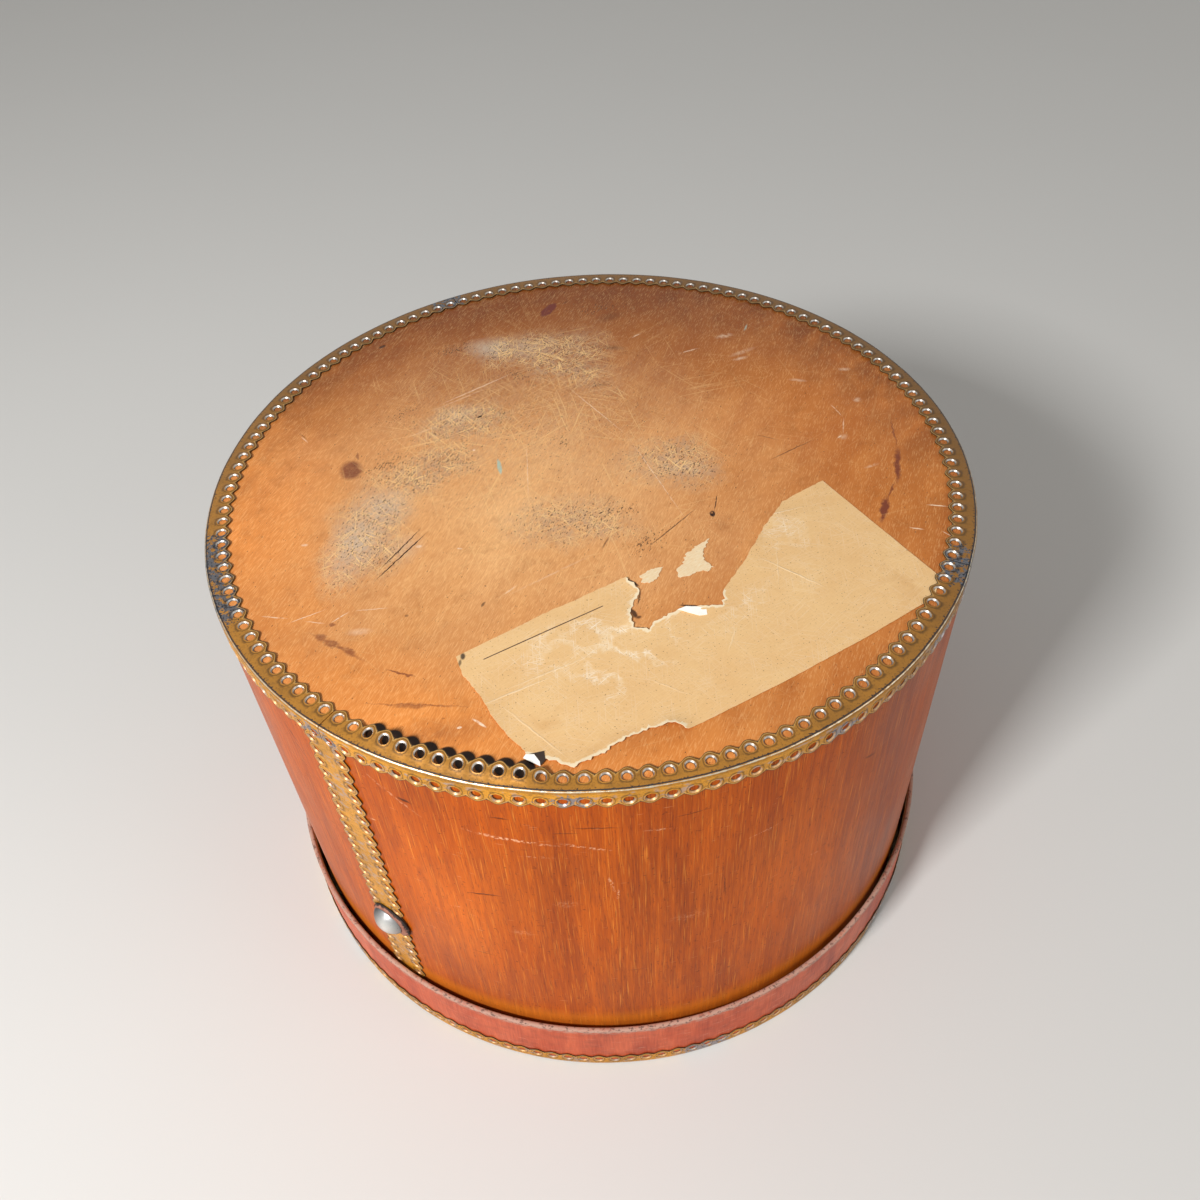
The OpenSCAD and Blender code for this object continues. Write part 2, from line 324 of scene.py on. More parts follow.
def shaken(place, size, amount):
    """Coordinates moved about by noise, so that a mark on them has a natural outline."""
    tree = place.id_data
    cloud = add(tree, "ShaderNodeTexNoise", {"Vector": place, "Scale": 1 / (size * MM), "Detail": 3.0})
    parts = add(tree, "ShaderNodeSeparateColor", {0: cloud.outputs["Color"]}).outputs
    moved = add(tree, "ShaderNodeCombineXYZ", {0: parts[0], 1: parts[1], 2: parts[2]})
    centred = add(
        tree, "ShaderNodeVectorMath", {0: moved.outputs[0], 1: (0.5, 0.5, 0.5)}, operation="SUBTRACT"
    )
    return add(
        tree, "ShaderNodeVectorMath", {0: centred.outputs[0], 1: [amount * MM] * 3, 2: place},
        operation="MULTIPLY_ADD",
    ).outputs[0]


def scratches(place, turns, size, between):
    """Long thin lines that cross each other: noise drawn out along each of several directions."""
    curved = shaken(place, 160, 16)
    return most(*(
        ramp(laid(
            add(place.id_data, "ShaderNodeTexNoise", {"Vector": curved, "Scale": 1.0, "Detail": 0.0}),
            (*size, 1000), (0, 0, turn), (13 * step, 29 * step, 0),
        )[0], *between)
        for step, turn in enumerate(turns)
    ))


# Marks for the function above, from rows of numbers in millimetres and degrees

def board_blots(*rows):
    """Blots on the board, each from (x, y, half length, half width, turn, strength, softness)."""
    return [((x, y, BOARD_TOP), (a, b, 40), (0, 0, turn), level, soft) for x, y, a, b, turn, level, soft in rows]


def board_streaks(*rows):
    """Thin marks on the board, each from (x and y of one end, x and y of the other, width, strength, softness)."""
    return board_blots(*(
        (
            (x0 + x1) / 2, (y0 + y1) / 2, math.hypot(x1 - x0, y1 - y0) / 2, width / 2,
            math.degrees(math.atan2(y1 - y0, x1 - x0)), level, soft,
        )
        for x0, y0, x1, y1, width, level, soft in rows
    ))


def wall_blots(*rows):
    """Marks on the drum's wall, each from (direction, z, half length, half height, turn, strength, softness)."""
    spots = []
    for angle, z, along, upright, turn, level, soft in rows:
        a = math.radians(angle)
        spots.append((
            (WALL_R * math.cos(a), WALL_R * math.sin(a), z), (60, along, upright), (turn, 0, angle), level, soft
        ))
    return spots


def sheet_blots(*rows):
    """Marks on the label's own flat sheet, each from (u, v, half length, half width, turn, strength, softness)."""
    return [((u, v, 0), (a, b, 1), (0, 0, turn), level, soft) for u, v, a, b, turn, level, soft in rows]


# Direction of the veneer's grain on the drum's board, and radius of the painted shadows under the sprung edging
BOARD_GRAIN = 66.0
PAINTED_SHADOW_R = 179.4

# Scuffed and bleached patches of the board
WORN_PATCHES = board_blots(
    (-20, 112, 56, 27, -5, 1, 1), (-8, 92, 48, 24, -35, 0.85, 1), (-62, 48, 40, 24, 10, 1, 1),
    (-80, 12, 42, 23, 25, 1, 1), (-108, -34, 26, 48, -15, 1, 1), (46, 4, 34, 25, -20, 0.95, 1),
    (-8, -34, 44, 22, -8, 0.85, 1), (-30, 50, 110, 100, 0, 0.3, 1),
)

# Whitish haze where the varnish is crushed
HAZE = board_blots(
    (-49, 117, 20, 12, -10, 1, 1), (-34, 116, 26, 12, -5, 0.5, 1), (-68, 56, 16, 11, 10, 0.55, 1),
    (-102, -14, 17, 18, 20, 0.8, 1), (-113, -38, 16, 34, -12, 0.9, 1), (-90, -44, 12, 14, 0, 0.4, 1),
    (48, 0, 20, 12, -20, 0.35, 1),
)

# Places where dirt sits in the open pores of the board
SPECKLED = board_blots(
    (9, 110, 16, 8, 0, 1, 1), (10, 75, 10, 6, 0, 0.9, 1), (-34, 87, 22, 9, -40, 0.8, 1),
    (-12, 28, 13, 8, 0, 0.8, 1), (12, -30, 24, 10, 20, 0.9, 1), (26, -52, 18, 8, 40, 0.9, 1),
    (16, 150, 26, 12, 0, 0.8, 1), (-101, 19, 22, 14, 30, 0.9, 1), (-72, 118, 20, 8, 10, 0.9, 1),
    (-98, 60, 26, 9, 35, 0.7, 1), (52, 2, 30, 14, -10, 0.8, 1),
)

# Dark marks on the board: spots, streaks and scratches, and a painted shadow beside the label's raised flap
DARK_MARKS = board_blots(
    (-113.8, 126.4, 2.6, 1.4, 40, 0.8, 0.4), (-55.4, 53.4, 1.8, 0.8, 35, 1, 0.3),
    (20, 109, 8, 3.2, -10, 0.45, 1), (11.7, 74.3, 7, 1.8, 5, 0.35, 1), (20, 141, 11, 6, 20, 0.35, 1),
    (-6, 160, 3, 1, 40, 0.4, 0.8), (-51, -85.3, 0.8, 2.2, -30, 0.7, 0.5), (-85.4, -89, 1.2, 0.9, 0, 0.5, 0.5),
    (59, -36, 1.5, 2.6, 0, 1, 0.3), (16.4, -97.4, 1.5, 4.2, 22, 0.9, 0.5),
    (18.2, -99.8, 1.7, 1.1, 10, 0.8, 0.6),
) + board_streaks(
    (-81, -30, -100.7, -59.4, 0.8, 1, 0.4), (-77.6, -33, -103, -67.3, 0.9, 1, 0.4),
    (4, -30.5, 6.5, -29, 0.9, 0.9, 0.4), (5, -29, 12.2, -16, 0.5, 0.5, 0.6),
    (4.1, -55.6, 8.5, -46.5, 1.3, 0.6, 0.6), (24, -58, 53, -30, 0.9, 0.75, 0.5),
    (91, 0, 118, 15, 0.9, 0.6, 0.5), (88, 22, 100, 16, 0.6, 0.5, 0.5), (60, -34, 63, -22, 0.7, 0.9, 0.4),
    (-152, 50, -147, 44, 0.8, 0.5, 0.5), (0, -22, 1.5, -10, 0.5, 0.35, 0.7),
    (13.5, -75, 20.6, -81.5, 2.2, 0.9, 0.4), (20.6, -82.5, 18.4, -93, 1.2, 0.8, 0.5),
    # The streak from (36, -94) to (50, -97.2) is a painted shadow beside the label's raised flap
    (15.5, -105.2, 23.2, -107, 1, 0.8, 0.5), (36, -94, 50, -97.2, 1.8, 0.9, 0.4),
)

# Red-brown stains on the board
STAINS = board_streaks(
    (-21, 146, -11.5, 160.5, 7, 1, 0.25), (158.5, 5, 151, -25, 3.8, 0.85, 0.5),
    (160, 28, 157.5, 2, 1.2, 0.6, 0.6), (144.5, -31, 137, -52, 4.2, 0.9, 0.45),
    (151, -22, 143, -36, 1.4, 0.7, 0.6), (-129.6, -94.4, -100.3, -115, 2.8, 0.65, 0.7),
    (-93.1, -119.1, -79.2, -125.2, 1.3, 0.75, 0.5), (-103.2, -137.2, -52.9, -143.5, 1.5, 0.6, 0.7),
) + board_blots(
    (-120.9, 15.7, 6.6, 8.8, 10, 0.8, 0.4), (-118.6, 27, 0.9, 4, 10, 0.6, 0.5),
    (-122.9, -98.3, 3.6, 2.6, -30, 0.6, 0.5), (-117.3, -102.8, 4.6, 2.6, -25, 0.65, 0.5),
    (-109.3, -108.2, 4.6, 2.2, -35, 0.65, 0.5), (-118.7, -91.1, 1.8, 1.6, 0, 0.6, 0.5),
    (-82.1, -124.1, 1.6, 1, 0, 0.7, 0.4), (-80, -140.6, 10, 1.8, -5, 0.5, 0.6), (-68, -156, 30, 9, 5, 0.4, 1),
)

# Traces of pale green paint on the board
PAINT = board_streaks(
    (-45.4, 17.4, -43.6, 3.6, 2.6, 0.9, 0.35), (96, 116, 99, 124, 1.6, 0.6, 0.6),
)

# Pale scratches and scuffs on the board
PALE_MARKS = board_streaks(
    (-80.3, 64.5, -36.4, 92, 0.9, 0.75, 0.6), (-84, 60, -48, 81, 0.6, 0.5, 0.6),
    (-9, 77, 22, 29, 0.6, 0.65, 0.6), (22, 29, 48, -45, 0.55, 0.6, 0.6),
    (-30.5, 30, -29.9, -19, 0.5, 0.55, 0.6), (-96.6, 38, -72, 51, 0.5, 0.5, 0.6),
    (-43.7, -83, 4, -56, 1.4, 0.35, 1), (-44.3, -82.5, -34.5, -73.8, 1.2, 0.5, 0.8),
    (-151, 47, -146, 41, 0.8, 0.6, 0.6), (31, 117.5, 37, 122, 1.2, 0.6, 0.6),
    (56, 98.5, 69, 103, 1.3, 0.65, 0.6), (131, 44, 136, 31, 0.7, 0.6, 0.6), (136, 31, 133, 17, 0.7, 0.7, 0.6),
    (133, 17, 129, 14, 0.8, 0.8, 0.6), (160.8, -40.1, 172.1, -42.8, 1, 0.9, 0.6),
    (148.9, -55, 156.4, -57.2, 1, 0.8, 0.6), (163.5, -58.7, 168.6, -64.1, 0.9, 0.8, 0.6),
    (-152.7, -82.8, -138.6, -85.8, 0.7, 0.7, 0.6), (-131.8, -88, -121.1, -90.5, 0.7, 0.6, 0.6),
    (-140.6, -89.3, -121.6, -81.2, 0.6, 0.75, 0.6), (-120, -90.6, -111.4, -83.8, 0.8, 0.75, 0.6),
    (-111.4, -83.8, -91.7, -83.3, 0.6, 0.65, 0.6),
) + board_blots(
    (-62.9, -47.8, 1.6, 0.6, -20, 0.9, 0.5), (-57.9, 25.3, 0.9, 0.7, 0, 0.8, 0.5),
    (84, 113, 6, 2.6, 15, 0.6, 1), (92, 96, 10, 2.2, 25, 0.35, 1), (90, 90, 5, 1.8, 15, 0.6, 1),
    (118, 66, 6, 1.6, -15, 0.45, 1), (145, 73, 4, 2.2, 0, 0.5, 1), (146, 45, 3, 2.6, 0, 0.5, 1),
    (132.5, 15, 3.2, 2.6, 30, 0.35, 1), (142, -9, 5, 1.2, 20, 0.45, 1), (-51.5, -152, 4.2, 0.8, -40, 1, 0.4),
    (-59.6, -153.7, 1.2, 0.8, 0, 0.9, 0.4), (-105.9, -96.8, 7, 2.6, 0, 0.4, 1),
    (-82.5, -44.3, 2, 1.4, 0, 0.6, 0.6), (-138, -38, 2, 1.2, 0, 0.6, 0.6),
)


def board_plywood(look):
    """Varnished birch plywood, worn: orange tan with fine slanting flecks, scuffed grey where it was stood on."""
    material, place = blank_material("Varnished birch plywood, worn board")

    def slanted(along, across, between=(0, 1), detail=3):
        """Noise with its clumps along the veneer's grain."""
        return grain(place, (along, across, 200), between, detail, turn=BOARD_GRAIN)

    flecks = slanted(3.6, 0.5, (0.34, 0.68))
    bands = slanted(150, 14, (0.3, 0.72), 2)
    cloud = slanted(60, 45, (0.35, 0.68), 4)
    mottle = slanted(16, 11, (0.35, 0.7), 5)
    veneer = levels(0.0, (flecks, 0.3), (bands, 0.4), (mottle, 0.3))
    wood = two_tone(veneer, (0.15, look.board_dark), (0.85, look.board_light))
    wandering = shaken(place, 55, 46)
    axes = axes_of(wandering)
    # Partly painted light and shade, partly the varnish's own tone: lighter over the front left and middle, darker
    # towards the rear and the right, as the light falls
    rear = ramp(axes["Y"], 35 * MM, 160 * MM)
    right = ramp(axes["X"], 70 * MM, 200 * MM)
    bleached = marks(wandering, board_blots((-38, -25, 168, 150, 0, 1, 1)))
    orange = marks(wandering, board_blots(
        (-175, -20, 60, 120, 8, 0.8, 1), (-100, -160, 130, 62, -18, 0.9, 1), (40, -190, 120, 30, 0, 0.7, 1),
    ))
    middle = marks(wandering, board_blots((-15, 25, 140, 115, 0, 1, 0.5)))
    wear = ramp(marks(shaken(place, 30, 34), WORN_PATCHES), 0.0, 0.6)
    breakup = slanted(3, 1.8, (0.28, 0.6), 7)
    worn = times(wear, breakup)
    haze = times(marks(shaken(place, 20, 10), HAZE), slanted(3, 1.6, (-0.1, 0.75), 6))
    # Scratches are about a fifth of a millimetre wide on the real board and are drawn wider, so that they show
    strokes = scratches(place, (12, 38, 71, 104, 131, 163), (55, 0.8), (0.74, 0.79))
    strokes = times(strokes, grain(place, (30, 30, 200), (0.36, 0.56), 2))
    fine = scratches(place, (25, 58, 95, 123, 150), (16, 0.5), (0.69, 0.74))
    fine = times(fine, wear, grain(place, (12, 12, 200), (0.34, 0.52)))
    scratched = most(times(strokes, levels(0.12, (middle, 0.35), (wear, 0.4))), fine)
    # Specks are about a tenth of a millimetre on the real board and are drawn coarser, so that they show
    peppered = most(marks(shaken(place, 12, 12), SPECKLED), times(wear, 0.6))
    specks = ramp(levels(slanted(1.5, 0.7), (peppered, 0.155)), 0.68, 0.72)
    crisp = shaken(place, 2.5, 0.9)
    blotchy = shaken(place, 3.4, 3.2)
    dark = times(marks(crisp, DARK_MARKS), slanted(1.6, 1.6, (0.25, 0.42)))
    stains = times(marks(blotchy, STAINS), slanted(3, 3, (0.05, 0.45)))
    pale = times(marks(crisp, PALE_MARKS), slanted(2, 2, (0.3, 0.52)))
    paint = times(marks(crisp, PAINT), slanted(1.2, 1.2, (0.25, 0.45)))
    step = 360 / cells_round(DRUM_R)
    # Painted shadow: a near-black spot on the board under each tip of the sprung edging
    painted_shadow = marks(place, board_blots(*(
        (PAINTED_SHADOW_R * math.cos(a), PAINTED_SHADOW_R * math.sin(a), 4.5, 5.0, math.degrees(a) + 90, 0.97, 0.15)
        for a in (math.radians(SEAM_ANGLE + step * (valley + 0.5) + 0.35) for valley in range(2, 11))
    )))
    dirt = slanted(9, 9, (0.55, 0.8), 6)
    # Darker near the edging, most towards the rear
    darker_by_rim = times(
        ramp(marks(blotchy, board_blots((-6, -6, 186, 186, 0, 1, 0.3))), 0.75, 0.1),
        slanted(22, 13, (0.32, 0.62), 5), ramp(axes["Y"], -120 * MM, 90 * MM),
    )
    shade = coats(wood, [
        # Partly painted light: lighter over the front left and middle
        (bleached, 0.85, "#ffca8c"),
        (cloud, 0.28, "#d0843c"),
        (orange, 1, "#ffa04e"),
        # Partly painted shade: darker towards the rear and the right
        (rear, 0.9, "#6c3406"),
        (right, 0.5, "#b8661e"),
        (darker_by_rim, 0.75, "#5a2608"),
        (flecks, 0.34, "#a2561e"),
        (ramp(flecks, 0.4, 0.0), 0.25, "#ffc888"),
        (dirt, 0.3, "#84481e"),
        (worn, 0.7, look.worn),
        (haze, 0.6, "#cccbbd"),
        (stains, 1, "#6a2c20"),
        (scratched, 0.8, "#f8cc8c"),
        (specks, 0.8, "#3a2c1e"),
        (pale, 1, "#f6d8ba"),
        (paint, 1, "#a9bfae"),
        (dark, 1, "#2c150b"),
        # Painted shadow under the sprung edging
        (painted_shadow, 1, "#0d0604"),
    ])
    gloss = levels(0.4, (worn, 0.2), (haze, 0.15), (scratched, 0.15), (cloud, 0.08), (dirt, 0.1))
    return surface(
        material, shade, gloss, (flecks, 0.03), (scratched, -0.04), (specks, -0.04), (worn, -0.03),
        (dark, -0.1), (mottle, 0.03), Specular_IOR_Level=0.2,
    )


# Marks on the drum's wall
WALL_PALE = wall_blots(
    (-103, 224, 23, 1.3, -5, 0.95, 0.6), (-94, 221.5, 16, 1, -16, 0.8, 0.6), (-119, 236, 20, 1, -38, 0.5, 0.6),
    (-90.6, 189, 1, 8, 10, 0.95, 0.6), (-89.8, 180, 0.8, 5, -4, 0.8, 0.6),
    (-124.3, 204, 3.4, 0.8, 14, 0.9, 0.6), (-100, 212, 9, 0.8, 4, 0.5, 0.6), (-84, 230, 8, 0.8, -8, 0.6, 0.6),
    (-70, 205, 10, 0.6, 10, 0.5, 0.6), (-60, 160, 6, 0.6, -20, 0.5, 0.6), (-114, 150, 5, 0.7, 24, 0.5, 0.6),
    (-97, 172, 7, 3.5, 10, 0.35, 1), (-80, 150, 12, 4, 0, 0.3, 1), (-104, 140, 8, 3, 0, 0.35, 1),
)
WALL_DARK = wall_blots(
    (-108.5, 171, 10, 0.6, 12, 0.9, 0.6), (-117, 235, 4, 1.4, -12, 0.8, 0.6), (-92, 236, 12, 0.6, -2, 0.6, 0.6),
    (-80, 238, 9, 0.5, 2, 0.6, 0.6), (-104, 240, 5, 0.6, 0, 0.7, 0.6), (-75, 170, 0.5, 14, 3, 0.5, 0.6),
    (-52, 215, 5, 1.2, -20, 0.5, 0.6), (-96, 232, 7, 0.5, 3, 0.5, 0.6), (-111, 108, 9, 0.5, 2, 0.4, 0.6),
    (-88, 104, 6, 0.5, -3, 0.4, 0.6), (-137, 235, 9, 0.6, -50, 0.7, 0.6), (-136, 225, 7, 0.5, -50, 0.6, 0.6),
)


def wall_plywood(look):
    """Varnished birch plywood, bent: orange brown under clear gloss, with upright grain and light scuffs."""
    material, place = blank_material("Varnished birch plywood, drum wall")
    flecks = grain(place, (0.62, 0.62, 20), (0.34, 0.68))
    fine = grain(place, (1.6, 1.6, 60), (0.3, 0.7), 4)
    broad = grain(place, (13, 13, 190), (0.3, 0.7))
    veneer = levels(0.0, (flecks, 0.3), (fine, 0.3), (broad, 0.4))
    wood = two_tone(veneer, (0.15, look.wall_dark), (0.85, look.wall_light))
    pores = grain(place, (0.5, 0.5, 7), (0.6, 0.68), 2)
    bright = grain(place, (0.5, 0.5, 26), (0.6, 0.72), 2)
    figure = grain(place, (5, 5, 46), (0.52, 0.6), bend=0.8)
    cloud = grain(place, (45, 45, 70), (0.35, 0.7))
    specks = grain(place, (1.6, 1.6, 1.1), (0.48, 0.58))
    rough_place = shaken(place, 5, 2.0)
    pale = times(marks(rough_place, WALL_PALE), specks)
    dark = times(marks(rough_place, WALL_DARK), grain(place, (2, 2, 2), (0.2, 0.45)))
    height_up = axes_of(place)["Z"]
    # Painted sheen: a lighter band along the wall's lower edge, next to the lid
    painted_sheen_band = times(ramp(height_up, (LID_H + 14) * MM, (LID_H + 6) * MM), 0.4)
    nicks = grain(place, (9, 9, 0.8), (0.74, 0.8), 1)
    dents = grain(place, (2.2, 2.2, 1.6), (0.7, 0.74), 1)
    # Painted light: two lighter pools on the front of the wall, to either side of the middle
    painted_light_pool = marks(rough_place, wall_blots((-114, 150, 48, 90, 0, 0.5, 1), (-60, 150, 50, 90, 0, 0.35, 1)))
    shade = coats(wood, [
        (painted_light_pool, 1, "#f07a1c"),
        (cloud, 0.35, "#c0520c"),
        (figure, 0.3, "#8c3a12"),
        (pores, 0.5, "#5e240b"),
        (bright, 0.45, "#f09a3c"),
        (painted_sheen_band, 1, "#cf7a2c"),
        (nicks, 0.4, "#e0a070"),
        (dents, 0.5, "#4f1f0c"),
        (pale, 0.7, "#f0bc94"),
        (dark, 1, "#2c1006"),
    ])
    gloss = levels(0.3, (cloud, 0.1), (pale, 0.25), (flecks, 0.05))
    return surface(
        material, shade, gloss, (flecks, 0.02), (pale, -0.04), (dark, -0.06), (pores, -0.015), (cloud, 0.12),
        Specular_IOR_Level=0.08,
    )


def rim_plywood(look):
    """Stained birch plywood: reddish brown satin, rubbed pale along its rounded upper edge."""
    material, place = blank_material("Stained birch plywood, lid rim")
    fine = grain(place, (0.9, 0.9, 14), (0.3, 0.7), 4)
    broad = grain(place, (16, 16, 60), (0.3, 0.7))
    veneer = levels(0.0, (fine, 0.4), (broad, 0.6))
    wood = two_tone(veneer, (0.1, look.rim_dark), (0.9, look.rim_light))
    edge = attribute(place, "edge")
    ragged = grain(place, (3.5, 3.5, 1.4), (0.35, 0.62), 5)
    rubbed = ramp(levels(edge, (ragged, 0.35)), 0.75, 1.15)
    cloud = grain(place, (35, 35, 30), (0.4, 0.7))
    scuffs = grain(place, (12, 12, 0.7), (0.64, 0.72), 2)
    spotted = grain(place, (1.8, 1.8, 0.9), (0.55, 0.62))
    grime = grain(place, (8, 8, 5), (0.5, 0.75), 5)
    shade = coats(wood, [
        (cloud, 0.4, "#bc4e30"),
        (grime, 0.35, "#6e2c1c"),
        (scuffs, 0.45, "#dba58a"),
        (rubbed, 0.8, "#b89c8c"),
        (times(rubbed, spotted), 0.7, "#4a3430"),
    ])
    gloss = levels(0.42, (rubbed, 0.2), (cloud, 0.1))
    return surface(
        material, shade, gloss, (fine, 0.02), (scuffs, -0.03), (rubbed, -0.03), (cloud, 0.1),
        Specular_IOR_Level=0.25,
    )


def lacquered_tinplate(look, name, dull):
    """Gold-lacquered tinplate, pressed: ochre satin metal, bright tin on its fold and in its holes, with painted
    shade in its holes, along its scallops and towards the rear and right, and painted light on all but the drum's
    top.
    """
    material, place = blank_material(name)
    worn_by = {title: attribute(place, title) for title in ("fold", "bare", "rim", "edge", "grime", "groove")}
    rub = grain(place, (2.6, 2.6, 2.6), (0.3, 0.7), 5)
    fleck = grain(place, (1.0, 1.0, 1.0), (0.52, 0.66), 5)
    streaks = grain(place, (3.5, 3.5, 0.7), (0.5, 0.7))
    cloud = grain(place, (18, 18, 18), (0.35, 0.7))
    axes = axes_of(place)
    side = ramp(axes["Z"], (TOP - 0.8) * MM, (TOP - 1.8) * MM)
    smear = grain(place, (5, 5, 2.6), (0.54, 0.62), 5)
    line = ramp(levels(worn_by["fold"], (rub, -0.035)), 0.952, 0.974)
    patches = times(
        ramp(levels(worn_by["bare"], (rub, 1.0), (fleck, 0.5)), 1.36, 1.52), levels(1.0, (worn_by["edge"], -0.4))
    )
    punched = times(ramp(worn_by["rim"], 0.95, 1.1), levels(1.0, (side, -0.6)))
    # Painted shade: dark lines in the groove round each hole and along each scallop's outline
    ring = most(times(ramp(worn_by["groove"], 0.66, 0.9), 0.65), ramp(worn_by["edge"], 0.6, 0.8))
    # Painted shade in the bottom of each punched hole
    painted_hole_shade = ramp(worn_by["rim"], 1.6, 1.9)
    burnished = times(ramp(worn_by["edge"], 0.3, 0.6), levels(0.2, (rub, 0.6)))
    seam_dirt = ramp(levels(worn_by["grime"], (fleck, 0.35)), 0.98, 1.25)
    # Painted shade: the lacquer is browned towards the rear and the right, where less light falls
    aged = levels(0.0, (ramp(axes["Y"], -60 * MM, 120 * MM), 0.85), (ramp(axes["X"], 40 * MM, 170 * MM), 0.62))
    shade = coats(look.lacquer, [
        # Painted light on the wall leg, the seam strips and the lid's edging
        (side, 0.9, look.lit_side_lacquer),
        (aged, 1, look.tarnish_and_shade),
        (cloud, 0.6 if dull else 0.4, look.tarnish_and_shade),
        (streaks, 0.35, look.tarnish_and_shade),
        (fleck, 0.45, look.tarnish_and_shade),
        (times(smear, side), 0.55, "#a89ea0"),
        (patches, 0.92, "#646a72"),
        (times(patches, fleck), 0.95, "#20242c"),
        (times(patches, side), 0.8, "#a89c9c"),
        (burnished, 0.8, "#e6bc74"),
        # Painted shade round the holes and along the scallops
        (ring, 0.9, "#2c1e0e"),
        (seam_dirt, 0.95, "#22242a"),
        (punched, 0.8, look.steel),
        # Painted shade in the holes
        (painted_hole_shade, 0.9, "#2a1a10"),
        (line, 0.9, "#cfc6b0"),
    ])
    bare_metal = most(line, punched, patches)
    gloss = levels(0.5 if dull else 0.42, (rub, 0.1), (fleck, 0.12), (bare_metal, -0.12))
    metal = levels(0.45, (bare_metal, 0.45))
    return surface(
        material, shade, gloss, (rub, 0.04), (fleck, -0.03), (cloud, 0.08), (patches, -0.03), Metallic=metal,
    )


def plated_steel(name, tone, rough, painted_highlight_spots=()):
    """Nickel-plated or plain steel: grey metal with small dull spots, and a painted highlight on the spots given for
    one.
    """
    material, place = blank_material(name)
    rub = grain(place, (2.2, 2.2, 2.2), (0.3, 0.7), 5)
    spots = grain(place, (0.8, 0.8, 0.8), (0.66, 0.72), 2)
    # Painted highlight on the given spots
    painted_crown = [(marks(place, painted_highlight_spots), 1, "#fffdf8")] if painted_highlight_spots else []
    shade = coats(colour(tone), [*painted_crown, (rub, 0.1, "#8f8b84"), (spots, 0.6, "#6a5a48")])
    gloss = levels(rough, (rub, 0.14), (spots, 0.25))
    return surface(material, shade, gloss, (rub, 0.02), (spots, -0.03), Metallic=1.0)


def old_leather():
    """Vegetable-tanned leather, dried out: red brown, cracked, black and frayed at its edge."""
    material, place = blank_material("Vegetable-tanned leather, dried")
    edge = attribute(place, "edge")
    pebble = add(
        place.id_data, "ShaderNodeTexVoronoi", {"Vector": place, "Scale": 1 / (0.9 * MM)},
        feature="DISTANCE_TO_EDGE",
    ).outputs["Distance"]
    crack = ramp(pebble, 0.0, 0.12)
    stain = grain(place, (2.4, 2.4, 2.4), (0.35, 0.65), 4)
    frayed = ramp(levels(edge, (stain, 0.4)), 0.75, 1.05)
    shade = coats(colour("#a6705c"), [(stain, 0.6, "#7c3d2b"), (frayed, 1, "#1c120d")])
    gloss = levels(0.6, (stain, 0.2))
    return surface(material, shade, gloss, (crack, 0.08), (stain, 0.15), (frayed, -0.2))


